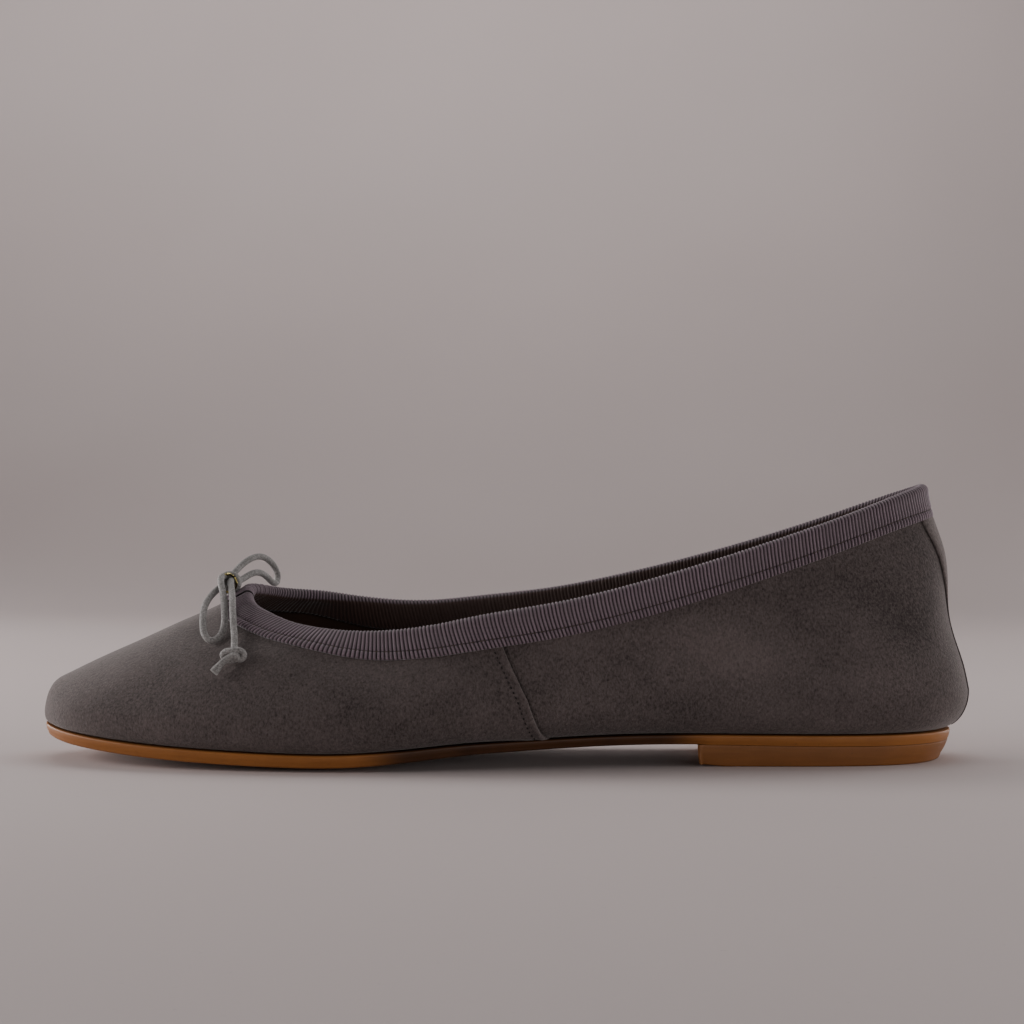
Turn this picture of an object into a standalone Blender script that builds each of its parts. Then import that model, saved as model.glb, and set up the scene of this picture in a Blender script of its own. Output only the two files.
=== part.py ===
"""Ballet flat for the left foot, empty and standing on its sole.

The toe points along -X, the outer (lateral) side faces -Y, the inner (medial) side faces +Y, and
the floor is Z = 0. All sizes are in metres. Every table holds shares of the sizes named in it.
"""

import math

import bmesh
import bpy
import numpy as np
from mathutils import Vector

# The sole
SOLE_LENGTH = 0.2443
TOE_INSET = 0.0003  # from the front of the upper back to the tip of the sole
BALL_WIDTH = 0.0780
TOE_TIP_SHIFT = 0.0030  # the tip lies this far towards the inner side
SEAT_HEIGHT = 0.0081  # top of the sole above the floor, under the heel
SOLE_THICKNESS = 0.0031  # at the forefoot's edge
SOLE_CROWN = 0.0017  # how much thicker the forefoot is along its middle
SOLE_EDGE_TAPER = 0.0006
HEEL_LENGTH = 0.0700  # from the back of the sole forward to the heel's breast, on the outer side
HEEL_BREAST_SLANT = 0.0042  # the breast ends this much further back on the inner side
HEEL_TAPER = 0.0019
HEEL_FRONT_LIFT = 0.0007
HEEL_FRONT_RUN = 0.0070

# The upper
HEEL_OVERHANG = 0.0048  # how far the upper bulges out past the sole at the back
BULGE_RISE = 0.0105  # from the sole up to the upper's widest line
FEATHER_INSET = 0.0025  # from the sole's edge in to where the upper leaves it
LASTING_MARGIN = 0.0050  # upper turned in under the insole
UPPER_WALL = 0.0013
FRONT_REACH = 0.1250  # from the middle of the shoe forward to the front of the upper
VAMP_LENGTH = 0.0546  # from the front of the upper back to the throat
VAMP_WALL_LENGTH = 0.0570  # from the front back to where the walls stop being the vamp's alone
QUARTER_WALL_START = 0.1000  # from the front back to where they become the quarters' alone
BACK_HEIGHT = 0.0719  # rim of the upper above the floor, at the back
OPENING_LENGTH = 0.1834  # from throat to back
OPENING_WIDTH = 0.0620
RIDGE_HEIGHT = 0.0449  # rim of the upper above the floor, at the throat
SEAM_STEP = 0.0007  # the front panel laps over the back panel
SEAM_FOOT_ALONG = 0.1368  # from the sole's tip back to the seam's foot
SEAM_SWEEP = 0.0072  # from the foot the seam runs this far forward up to the widest line
SEAM_TOP_SWEEP = 0.0047  # and the rim's end of it lies this far forward
SEAM_SWEEP_REACH = 0.0350
SEAM_FADE = 0.0200
SEAM_WIDTH = 0.0006

# What is sewn and laid on it
GAP = 0.0003
STRIP_GAP = 0.0005
BINDING_GAP = 0.0004
RIBBON = 0.0006
BINDING_DROP = 0.0074
STRIP_THICKNESS = 0.0008
STRIP_HALF_WIDTH = 0.0094
INSOLE_THICKNESS = 0.0018
INSOLE_EASE = 0.0017  # from the line where the upper leaves the sole in to the insole's edge

# The bow
CORD = 0.0018  # diameter
KNOT_AHEAD = 0.0048  # of the throat
KNOT_ABOVE = 0.0027  # the throat's rim
KNOT_ASIDE = 0.0010  # from the toe's line towards the outer side
KNOT_WIDTH = 0.0064
KNOT_DEPTH = 0.0058
KNOT_HEIGHT = 0.0058
KNOT_SAG = 0.0008  # the knot's middle hangs this far below where the cords meet
TAIL_KNOT = 0.0044
EYELET_RADIUS = 0.0024
EYELET_WIRE = 0.0007
EYELET_INSET = 0.0005  # from the knot's outer end in to the eyelet

FRONT_X = -FRONT_REACH
THROAT_X = FRONT_X + VAMP_LENGTH
VAMP_STARTS_X = FRONT_X + VAMP_WALL_LENGTH
QUARTER_STARTS_X = FRONT_X + QUARTER_WALL_START
SOLE_TIP_X = FRONT_X + TOE_INSET
SOLE_BACK_X = SOLE_TIP_X + SOLE_LENGTH
HEEL_BREAST_X = SOLE_BACK_X - HEEL_LENGTH
SEAM_FOOT_X = SOLE_TIP_X + SEAM_FOOT_ALONG
KNOT = (THROAT_X - KNOT_AHEAD, TOE_TIP_SHIFT - KNOT_ASIDE, RIDGE_HEIGHT + KNOT_ABOVE)

# Outline of the sole's top: along from the tip as a share of SOLE_LENGTH, and the distance of
# each side from the middle line as a share of BALL_WIDTH.
OUTLINE = [
    # along, lateral, medial
    (0.013, 0.100, 0.172),
    (0.040, 0.212, 0.268),
    (0.081, 0.304, 0.349),
    (0.142, 0.393, 0.424),
    (0.216, 0.463, 0.478),
    (0.285, 0.500, 0.491),
    (0.355, 0.509, 0.458),
    (0.429, 0.487, 0.382),
    (0.510, 0.433, 0.301),
    (0.613, 0.372, 0.256),
    (0.715, 0.342, 0.264),
    (0.817, 0.344, 0.303),
    (0.899, 0.325, 0.298),
    (0.961, 0.245, 0.228),
    (0.991, 0.126, 0.120),
]

# Side view of the sole: height of its top as a share of SEAT_HEIGHT, thickness of its edge as a
# share of SOLE_THICKNESS, and thickening along the middle as a share of SOLE_CROWN.
SIDE = [
    # along, top, thickness, crown
    (0.000, 1.160, 0.88, 0.20),
    (0.020, 1.060, 0.93, 0.40),
    (0.060, 0.900, 0.95, 0.70),
    (0.110, 0.760, 0.97, 0.90),
    (0.180, 0.635, 1.00, 1.00),
    (0.260, 0.550, 1.01, 1.00),
    (0.345, 0.535, 1.00, 1.00),
    (0.400, 0.640, 0.95, 0.90),
    (0.460, 0.800, 0.88, 0.60),
    (0.530, 0.900, 0.80, 0.40),
    (0.630, 1.010, 0.79, 0.20),
    (0.715, 1.020, 0.80, 0.00),
    (0.850, 0.990, 0.88, 0.00),
    (1.000, 1.000, 0.90, 0.00),
]

# How the upper stands over the sole: bulge past the edge as a share of HEEL_OVERHANG, and height
# of the widest line over the sole as a share of BULGE_RISE.
BULGE = [
    # along, lateral, medial, rise
    (0.000, 0.08, 0.08, 0.24),
    (0.030, 0.14, 0.14, 0.42),
    (0.110, 0.22, 0.24, 0.66),
    (0.300, 0.32, 0.34, 0.84),
    (0.450, 0.50, 0.75, 0.92),
    (0.620, 0.72, 1.15, 1.00),
    (0.760, 0.62, 0.95, 1.06),
    (0.900, 0.72, 0.84, 1.02),
    (1.000, 1.00, 1.00, 0.93),
]

# Rim of the upper, a row for each row of OUTLINE: along from the throat as a share of
# OPENING_LENGTH, distance of each side from the middle as a share of OPENING_WIDTH, and height
# over the throat as a share of the rise from the throat to the back.
RIM = [
    # lateral along, lateral, lateral height, medial along, medial, medial height
    (0.0022, 0.047, -0.037, 0.0011, 0.115, 0.007),
    (0.0082, 0.126, -0.111, 0.0076, 0.181, 0.004),
    (0.0224, 0.203, -0.181, 0.0185, 0.239, -0.011),
    (0.0458, 0.279, -0.248, 0.0365, 0.290, -0.035),
    (0.0823, 0.352, -0.330, 0.0660, 0.339, -0.057),
    (0.1309, 0.415, -0.381, 0.1052, 0.384, -0.080),
    (0.1859, 0.463, -0.404, 0.1543, 0.424, -0.137),
    (0.2497, 0.498, -0.378, 0.2230, 0.455, -0.191),
    (0.3304, 0.513, -0.291, 0.3168, 0.468, -0.180),
    (0.4651, 0.500, -0.126, 0.4602, 0.460, -0.063),
    (0.6028, 0.456, 0.107, 0.6031, 0.424, 0.144),
    (0.7492, 0.394, 0.415, 0.7492, 0.370, 0.419),
    (0.8686, 0.300, 0.689, 0.8686, 0.290, 0.685),
    (0.9520, 0.181, 0.893, 0.9520, 0.180, 0.889),
    (0.9885, 0.085, 0.972, 0.9885, 0.085, 0.972),
]

# Ridge of the vamp from the toe to the throat: along as a share of the vamp's length, and height
# as a share of RIDGE_HEIGHT.
RIDGE = [
    # along, height
    (0.0000, 0.263),
    (0.0190, 0.395),
    (0.0550, 0.458),
    (0.1130, 0.498),
    (0.2820, 0.597),
    (0.5080, 0.719),
    (0.7340, 0.842),
    (0.9040, 0.932),
    (1.0000, 1.000),
]
SLIDE_POWER = 1.3  # how early the quarters' ribs lean along the shoe
SWEEP_POWER = 0.6  # how much of the seams' sweep is close above the sole
LATERAL_FALL = (1.8, 1.4)  # exponents of the vamp's cross-section on each side of the ridge
MEDIAL_FALL = (2.3, 1.8)

# How the quarters lean in between the widest line and the rim.
LEAN = [
    # height, share of the lean at the back, share at the sides
    (0.00, 0.00, 0.00),
    (0.13, 0.13, 0.05),
    (0.27, 0.34, 0.16),
    (0.38, 0.46, 0.28),
    (0.50, 0.52, 0.42),
    (0.60, 0.55, 0.54),
    (0.70, 0.62, 0.66),
    (0.80, 0.77, 0.78),
    (0.90, 0.92, 0.90),
    (1.00, 1.00, 1.00),
]

# Outline of the strip over the back seam: share of the way from the sole to the binding, and
# half width as a share of STRIP_HALF_WIDTH.
STRIP = [
    # up, half width
    (0.00, 0.48),
    (0.20, 0.44),
    (0.32, 0.36),
    (0.42, 0.25),
    (0.54, 0.25),
    (0.62, 0.42),
    (0.70, 0.66),
    (0.78, 0.82),
    (0.88, 0.94),
    (1.00, 1.00),
]

# Middle lines of the bow's cords, in millimetres along X, Y and Z from the middle of the knot.
LOOP_LATERAL = [
    (-1.9, -4.9, -0.7),
    (-3.1, -12.5, -4.6),
    (-3.9, -17.0, -8.0),
    (-3.9, -21.0, -11.2),
    (-2.7, -23.6, -14.1),
    (-1.3, -24.1, -15.0),
    (0.1, -23.5, -14.4),
    (1.1, -20.8, -11.3),
    (0.9, -16.5, -7.6),
    (0.2, -9.5, -2.2),
    (-0.2, -4.6, 1.0),
]
LOOP_MEDIAL = [
    (0.8, 2.8, 1.0),
    (3.5, 8.5, 4.7),
    (6.0, 12.0, 6.0),
    (8.1, 15.5, 5.6),
    (9.9, 19.0, 3.0),
    (10.8, 20.5, 0.3),
    (10.3, 19.0, -1.4),
    (8.9, 15.0, 0.3),
    (6.6, 10.5, 1.7),
    (4.4, 7.0, 1.0),
    (2.7, 4.6, -0.4),
]
TAIL_LATERAL = [
    (2.0, -4.8, -0.4),
    (2.6, -11.3, -3.0),
    (3.3, -18.5, -6.8),
    (3.6, -22.8, -10.7),
    (4.4, -27.0, -14.5),
    (4.8, -29.5, -15.9),
]
TAIL_MEDIAL = [
    (-0.4, 3.5, -1.2),
    (-1.0, 8.5, -2.0),
    (-1.4, 13.5, -4.0),
    (-1.6, 19.0, -6.4),
    (-1.4, 23.2, -8.6),
    (-1.2, 25.8, -10.0),
]
MM = 0.001

AROUND = 76  # sections around the shoe
CROWDING = 0.35  # how much closer they are at the toe and the back than at the sides
FINE = 336  # sections from which distances and normals are worked out
WALL_ROWS = 8  # of each section, above its widest line
LOWER_ROWS = 3  # and from the sole up to it
ACROSS = 6  # panels across and along the sole, the heel and the insole
ALONG = 30
STRIP_ROWS = 18
STRIP_ACROSS = 7
STRIP_SAMPLES = 41
STRIP_FIRST_ROW = 3  # the row of the upper's ribs that the strip ends at, just above the sole

COLOURS = {
    # red, green, blue, roughness, metallic
    "suede": (0.062, 0.050, 0.047, 0.95, 0.0),
    "grosgrain": (0.135, 0.105, 0.125, 0.75, 0.0),
    "sole": (0.290, 0.120, 0.040, 0.50, 0.0),
    "lining": (0.060, 0.030, 0.020, 0.70, 0.0),
    "cord": (0.190, 0.175, 0.165, 0.80, 0.0),
    "brass": (0.450, 0.360, 0.120, 0.30, 1.0),
}


def spline(knots, values, period=None):
    """A smooth curve through the values at the knots, as a function of the knot's measure."""
    knots = np.asarray(knots, float)
    values = np.asarray(values, float).reshape(len(knots), -1)
    if period:
        knots = np.concatenate([knots - period, knots, knots + period])
        values = np.tile(values, (3, 1))
    count = len(knots)
    step = np.diff(knots)[:, None]
    slope = np.diff(values, axis=0) / step
    matrix = np.eye(count)
    right = np.zeros_like(values)
    for i in range(1, count - 1):
        matrix[i, i - 1 : i + 2] = step[i - 1, 0], 2 * (step[i - 1, 0] + step[i, 0]), step[i, 0]
        right[i] = 6 * (slope[i] - slope[i - 1])
    bend = np.linalg.solve(matrix, right)

    def at(measure):
        x = np.atleast_1d(np.asarray(measure, float))
        if period:
            x = x % period
        i = np.clip(np.searchsorted(knots, x) - 1, 0, count - 2)
        h = step[i]
        a = (knots[i + 1] - x)[:, None]
        b = (x - knots[i])[:, None]
        straight = (values[i] * a + values[i + 1] * b) / h
        curved = (bend[i] * (a**3 / h - h * a) + bend[i + 1] * (b**3 / h - h * b)) / 6
        return straight + curved

    return at


def column_of(table, index):
    """One column of a table as a smooth function of its first column."""
    curve = spline([row[0] for row in table], [row[index] for row in table])
    return lambda share: curve(share)[:, 0]


def ease(share):
    share = np.clip(share, 0.0, 1.0)
    return share * share * (3 - 2 * share)


def station_points():
    """The outline's own points in order: tip, lateral side, back, medial side."""
    tip = (SOLE_TIP_X, TOE_TIP_SHIFT)
    back = (SOLE_TIP_X + SOLE_LENGTH, 0.0)
    lateral = [(SOLE_TIP_X + a * SOLE_LENGTH, -out * BALL_WIDTH) for a, out, _ in OUTLINE]
    medial = [(SOLE_TIP_X + a * SOLE_LENGTH, out * BALL_WIDTH) for a, _, out in OUTLINE]
    return np.array([tip, *lateral, back, *reversed(medial)])


def rim_points():
    """The upper's rim, a point for each point of the outline."""

    def point(share, out, up):
        rise = BACK_HEIGHT - RIDGE_HEIGHT
        return THROAT_X + share * OPENING_LENGTH, out * OPENING_WIDTH, RIDGE_HEIGHT + up * rise

    throat = (THROAT_X, TOE_TIP_SHIFT, RIDGE_HEIGHT)
    back = (THROAT_X + OPENING_LENGTH, 0.0, BACK_HEIGHT)
    lateral = [point(share, -out, up) for share, out, up, _, _, _ in RIM]
    medial = [point(share, out, up) for _, _, _, share, out, up in RIM]
    return np.array([throat, *lateral, back, *reversed(medial)])


STATIONS = station_points()
CHORDS = np.linalg.norm(STATIONS - np.roll(STATIONS, 1, axis=0), axis=1)
TURNS = (np.cumsum(CHORDS) - CHORDS[0]) / CHORDS.sum()  # each station's share of the way round
TURN_LENGTH = CHORDS.sum()
outline = spline(TURNS, STATIONS, period=1.0)
rim_line = spline(TURNS, rim_points(), period=1.0)

side_top = column_of(SIDE, 1)
side_thickness = column_of(SIDE, 2)
side_crown = column_of(SIDE, 3)
bulge_lateral = column_of(BULGE, 1)
bulge_medial = column_of(BULGE, 2)
bulge_rise = column_of(BULGE, 3)
lean_back = column_of(LEAN, 1)
lean_side = column_of(LEAN, 2)
ridge_curve = spline([math.sqrt(a) for a, _ in RIDGE], [h for _, h in RIDGE])


def along(x):
    return np.clip((x - SOLE_TIP_X) / SOLE_LENGTH, 0.0, 1.0)


def sole_top(x):
    return side_top(along(x)) * SEAT_HEIGHT


def outward(turn):
    """Unit normals of the outline, pointing out of the shoe."""
    small = 1e-4
    run = outline(turn + small) - outline(turn - small)
    normal = np.stack([run[:, 1], -run[:, 0]], axis=1)
    return normal / np.linalg.norm(normal, axis=1, keepdims=True)


def turn_at(x, medial):
    """The share of the way round at which the outline of one side passes x."""
    turns = np.linspace(0.02, 0.98, 4000)
    xy = outline(turns)
    side = (xy[:, 1] > 0) == medial
    turns, xy = turns[side], xy[side]
    return float(turns[np.abs(xy[:, 0] - x).argmin()])


SEAM_LATERAL = turn_at(SEAM_FOOT_X, False)
SEAM_MEDIAL = turn_at(SEAM_FOOT_X, True)


def widest_line(turn):
    """The upper's widest line and the outline's normals there."""
    xy = outline(turn)
    normal = outward(turn)
    share = along(xy[:, 0])
    side = ease((xy[:, 1] / (BALL_WIDTH / 6) + 1) / 2)
    bulge = (1 - side) * bulge_lateral(share) + side * bulge_medial(share)
    xy = xy + normal * (bulge * HEEL_OVERHANG)[:, None]
    z = sole_top(xy[:, 0]) + GAP + bulge_rise(share) * BULGE_RISE
    return np.column_stack([xy, z]), normal


WIDE = widest_line(np.linspace(0, 1, FINE, endpoint=False))[0]


def half_widths(x):
    """Distance of the widest line from the middle on the lateral and the medial side."""
    found = []
    for medial in (False, True):
        points = WIDE[(WIDE[:, 1] > TOE_TIP_SHIFT) == medial]
        points = points[np.argsort(points[:, 0])]
        found.append(np.abs(np.interp(x, points[:, 0], points[:, 1] - TOE_TIP_SHIFT)))
    return found


def vamp_height(x, y, base):
    """Height of the vamp's surface over a point, rising from its base at the widest line."""
    reach = np.clip((x - FRONT_X) / (THROAT_X - FRONT_X), 0.0, 1.6)
    ridge = ridge_curve(np.sqrt(np.minimum(reach, 1.0)))[:, 0] * RIDGE_HEIGHT
    ridge = ridge + np.maximum(reach - 1.0, 0.0) * 0.5 * RIDGE_HEIGHT
    lateral, medial = half_widths(x)
    across = y - TOE_TIP_SHIFT
    heights = []
    for half, (power, root) in ((lateral, LATERAL_FALL), (medial, MEDIAL_FALL)):
        share = np.clip(np.abs(across) / np.maximum(half, 1e-6), 0.0, 1.0)
        heights.append((1 - share**power) ** (1 / root))
    share = np.where(across < 0, heights[0], heights[1])
    return base + (ridge - base) * share


def swept(turn, distance):
    """Turns moved forward round the side seams, so that the seams lean back towards the sole."""
    reach = SEAM_SWEEP_REACH / TURN_LENGTH
    lateral = np.exp(-(((turn - SEAM_LATERAL) / reach) ** 2))
    medial = np.exp(-(((turn - SEAM_MEDIAL) / reach) ** 2))
    return turn + (medial - lateral) * distance / TURN_LENGTH


def rim(turn):
    """The upper's rim at a share of the way round."""
    return rim_line(swept(turn, SEAM_TOP_SWEEP))


def wall(turn, up):
    """The upper's outer face above its widest line: up runs from 0 there to 1 at the rim."""
    low, normal = widest_line(swept(turn, SEAM_SWEEP))
    top = rim(turn)
    way = top - low
    lean = (way[:, :2] * normal).sum(axis=1)
    slide = way[:, :2] - normal * lean[:, None]
    facing = np.abs(normal[:, 0]) ** 2 * (low[:, 0] > 0)
    share = facing * lean_back(up) + (1 - facing) * lean_side(up)
    quarter = low.copy()
    quarter[:, :2] += normal * (lean * share)[:, None] + slide * (1 - (1 - up) ** SLIDE_POWER)[:, None]
    quarter[:, 2] += way[:, 2] * up
    reach = 1 - np.cos(up * math.pi / 2)
    vamp = low + way * reach[:, None]
    end = vamp_height(top[:, 0], top[:, 1], low[:, 2])
    height = vamp_height(vamp[:, 0], vamp[:, 1], low[:, 2])
    vamp[:, 2] = height + (top[:, 2] - end) * reach**2
    foot_x = outline(turn)[:, 0]
    blend = ease((QUARTER_STARTS_X - foot_x) / (QUARTER_STARTS_X - VAMP_STARTS_X))[:, None]
    return (1 - blend) * quarter + blend * vamp


def below(turn, angle):
    """The upper's outer face from where it leaves the sole (0) round to its widest line (1)."""
    turn = swept(turn, SEAM_SWEEP * (1 - np.cos(angle * math.pi / 2)) ** SWEEP_POWER)
    wide, normal = widest_line(turn)
    foot = outline(turn) - normal * FEATHER_INSET
    base = sole_top(outline(turn)[:, 0]) + GAP
    xy = foot + (wide[:, :2] - foot) * np.sin(angle * math.pi / 2)[:, None]
    z = base + (wide[:, 2] - base) * (1 - np.cos(angle * math.pi / 2))
    return np.column_stack([xy, z])


def margin(turn, inside):
    """The turned-in edge on the sole, from its inner end (1) out to the bend (0)."""
    normal = outward(turn)
    xy = outline(turn) - normal * (FEATHER_INSET + inside * LASTING_MARGIN)[:, None]
    return np.column_stack([xy, sole_top(xy[:, 0]) + GAP])


def panel_lift(turn, both_sides=False):
    """How far the front panel stands out where it laps over the back panels.

    Over both sides of a seam it is the height that covers the lap without a step.
    """
    lateral = (SEAM_LATERAL - turn) * TURN_LENGTH
    medial = (turn - SEAM_MEDIAL) * TURN_LENGTH
    lift = np.zeros_like(turn)
    for ahead in (lateral, medial):
        counts = both_sides | (ahead >= 0)
        lift += np.where(counts, 1 - ease(np.abs(ahead) / SEAM_FADE), 0.0)
    return lift * SEAM_STEP


def upper_grid(turns):
    """The upper's outer face as an array of ribs, each from the lasting margin up to the rim."""
    columns = [margin(turns, np.full_like(turns, 1.0)), margin(turns, np.full_like(turns, 0.4))]
    for row in range(LOWER_ROWS):
        columns.append(below(turns, np.full_like(turns, row / LOWER_ROWS)))
    for row in range(WALL_ROWS + 1):
        columns.append(wall(turns, np.full_like(turns, row / WALL_ROWS)))
    return np.stack(columns, axis=1)


def normals_of(grid, closed):
    """Normals that point out of the shoe, for a grid of ribs in order of their turns."""
    run = np.gradient(grid, axis=0)
    if closed:
        run = np.roll(grid, -1, axis=0) - np.roll(grid, 1, axis=0)
    normal = np.cross(run, np.gradient(grid, axis=1))
    return normal / np.maximum(np.linalg.norm(normal, axis=2, keepdims=True), 1e-12)


def even_turns():
    turns = np.linspace(0, 1, AROUND, endpoint=False)
    return turns - CROWDING * np.sin(4 * math.pi * turns) / (4 * math.pi)


def section_turns():
    """The shares of the way round at which the upper has a section, closer at the seams."""
    turns = list(even_turns())
    half = SEAM_WIDTH / 2 / TURN_LENGTH
    for seam in (SEAM_LATERAL, SEAM_MEDIAL):
        turns = [t for t in turns if abs(t - seam) > 0.5 / AROUND]
        turns += [seam - half, seam + half]
    return np.array(sorted(turns))


def resampled(rib, normal, distances):
    """Points and normals of one rib at distances down from its rim."""
    down = np.concatenate([[0], np.cumsum(np.linalg.norm(np.diff(rib[::-1], axis=0), axis=1))])
    place = [np.interp(distances, down, rib[::-1, k]) for k in range(3)]
    faces = [np.interp(distances, down, normal[::-1, k]) for k in range(3)]
    faces = np.stack(faces, axis=1)
    return np.stack(place, axis=1), faces / np.linalg.norm(faces, axis=1, keepdims=True)


def material(name):
    red, green, blue, roughness, metallic = COLOURS[name]
    made = bpy.data.materials.get(name) or bpy.data.materials.new(name)
    made.use_nodes = True
    shader = made.node_tree.nodes["Principled BSDF"]
    shader.inputs["Base Color"].default_value = (red, green, blue, 1.0)
    shader.inputs["Roughness"].default_value = roughness
    shader.inputs["Metallic"].default_value = metallic
    return made


def add_object(name, mesh, finish, collection):
    obj = bpy.data.objects.new(name, mesh)
    collection.objects.link(obj)
    obj.data.materials.append(material(finish))
    return obj


def grid_mesh(name, grid, closed):
    """A mesh over a grid of points. A closed grid joins its last rib to its first."""
    count, rows = grid.shape[:2]
    faces = []
    for i in range(count if closed else count - 1):
        for j in range(rows - 1):
            a, b = i * rows + j, ((i + 1) % count) * rows + j
            faces.append((a, b, b + 1, a + 1))
    mesh = bpy.data.meshes.new(name)
    mesh.from_pydata([tuple(p) for p in grid.reshape(-1, 3)], [], faces)
    return mesh


def thicken(obj, thickness, offset):
    """A wall on an open surface: offset 1 grows along the faces' normals, and -1 against them."""
    shell = obj.modifiers.new("wall", "SOLIDIFY")
    shell.thickness = thickness
    shell.offset = offset
    shell.use_even_offset = True
    shell.use_rim = True
    return shell


def face_out(mesh, point, direction):
    """Turns the faces of an open mesh so that the face nearest the point looks along direction."""
    nearest = min(mesh.polygons, key=lambda p: (p.center - Vector(point)).length)
    if nearest.normal.dot(Vector(direction)) < 0:
        mesh.flip_normals()


def make_upper(collection):
    """One shell with the front panel's lap as a step in its outer face alone."""
    turns = section_turns()
    grid = upper_grid(turns)
    rows = grid.shape[1]
    lift = np.repeat(panel_lift(turns)[:, None], rows, axis=1)
    lift[:, :3] = 0.0
    grid = grid + normals_of(grid, closed=True) * lift[:, :, None]
    mesh = grid_mesh("upper", grid, closed=True)
    face_out(mesh, (FRONT_X, TOE_TIP_SHIFT, SEAT_HEIGHT * 2), (-1, 0, 0))
    upper = add_object("upper", mesh, "suede", collection)
    thickest = UPPER_WALL + SEAM_STEP
    shell = thicken(upper, thickest, -1)
    group = upper.vertex_groups.new(name="wall")
    for index, share in enumerate(((UPPER_WALL + lift) / thickest).reshape(-1)):
        group.add([index], share, "REPLACE")
    shell.vertex_group = group.name
    mesh.shade_smooth()
    mesh.set_sharp_from_angle(angle=math.radians(35))
    return upper


def make_binding(collection):
    """The ribbon folded over the rim, with a leg down each face of the upper."""
    turns = section_turns()
    grid = upper_grid(turns)
    normal = normals_of(grid, closed=True)
    legs = np.linspace(BINDING_DROP, 0.0, 3)
    ribs = []
    for rib, faces, lift in zip(grid, normal, panel_lift(turns, both_sides=True)):
        place, out = resampled(rib, faces, legs)
        top, side = place[-1], out[-1]
        rise = rib[-1] - rib[-2]
        rise -= side * (rise @ side)
        rise /= np.linalg.norm(rise)
        middle = top + side * (lift - UPPER_WALL) / 2
        radius = (UPPER_WALL + lift) / 2 + BINDING_GAP
        outer = list(place[:-1] + out[:-1] * (BINDING_GAP + lift))
        arc = [
            middle + radius * (side * math.cos(a) + rise * math.sin(a))
            for a in np.linspace(0, math.pi, 4)
        ]
        inner = list(place[-2::-1] - out[-2::-1] * (UPPER_WALL + BINDING_GAP))
        ribs.append(outer + arc + inner)
    mesh = grid_mesh("binding", np.array(ribs), closed=True)
    back = (THROAT_X + OPENING_LENGTH, 0.0, BACK_HEIGHT - BINDING_DROP)
    face_out(mesh, Vector(back) + Vector((BINDING_DROP, 0, 0)), (1, 0, 0))
    binding = add_object("binding", mesh, "grosgrain", collection)
    thicken(binding, RIBBON, 1)
    mesh.shade_smooth()
    return binding


def make_back_strip(collection):
    """The strip that covers the back seam, from under the binding down to the sole."""
    middle = float(TURNS[len(OUTLINE) + 1])
    reach = 1.6 * STRIP_HALF_WIDTH / TURN_LENGTH
    turns = middle + np.linspace(-reach, reach, STRIP_SAMPLES)
    grid = upper_grid(turns)
    normal = normals_of(grid, closed=False)
    ups = np.linspace(0, 1, STRIP_ROWS)
    widths = column_of(STRIP, 1)(ups) * STRIP_HALF_WIDTH
    columns = []
    for rib, faces in zip(grid, normal):
        rib, faces = rib[STRIP_FIRST_ROW:], faces[STRIP_FIRST_ROW:]
        length = np.linalg.norm(np.diff(rib, axis=0), axis=1).sum()
        under = BINDING_DROP + GAP
        place, out = resampled(rib, faces, under + (1 - ups) * (length - under))
        columns.append(place + out * STRIP_GAP)
    columns = np.array(columns)
    ribs = []
    for row, width in enumerate(widths):
        line = columns[:, row]
        reach = np.concatenate([[0], np.cumsum(np.linalg.norm(np.diff(line, axis=0), axis=1))])
        reach -= reach[STRIP_SAMPLES // 2]
        wanted = np.linspace(-width, width, STRIP_ACROSS)
        ribs.append(np.stack([np.interp(wanted, reach, line[:, k]) for k in range(3)], axis=1))
    mesh = grid_mesh("back_strip", np.array(ribs), closed=False)
    face_out(mesh, (-FRONT_X, 0.0, BULGE_RISE + SEAT_HEIGHT), (1, 0, 0))
    strip = add_object("back_strip", mesh, "suede", collection)
    thicken(strip, STRIP_THICKNESS, 1)
    mesh.shade_smooth()
    return strip


def plate_rows(first_x, slant, inset):
    """Rows of points across the sole's outline, drawn in by an inset, from first_x to the back.

    The first row ends further back on the inner side by the slant, and the last one doesn't.
    """
    turns = np.linspace(0, 1, 4 * FINE, endpoint=False)
    edge = outline(turns) - outward(turns) * inset
    halfway = turns <= TURNS[len(OUTLINE) + 1]
    sides = edge[halfway], edge[~halfway][::-1]
    start = max(first_x, edge[:, 0].min())
    end = edge[:, 0].max()
    steps = np.linspace(0, 1, ALONG + 1)
    ahead = (1 - np.cos(math.pi * steps)) / 2 if start < HEEL_BREAST_X else np.sin(math.pi / 2 * steps)
    rows = []
    for share in ahead:
        ends = []
        for side, first in zip(sides, (start, start + slant)):
            x = first + (end - first) * share
            ends.append((x, float(np.interp(x, side[:, 0], side[:, 1]))))
        rows.append(np.linspace(*ends, ACROSS + 1))
    return np.array(rows)


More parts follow.
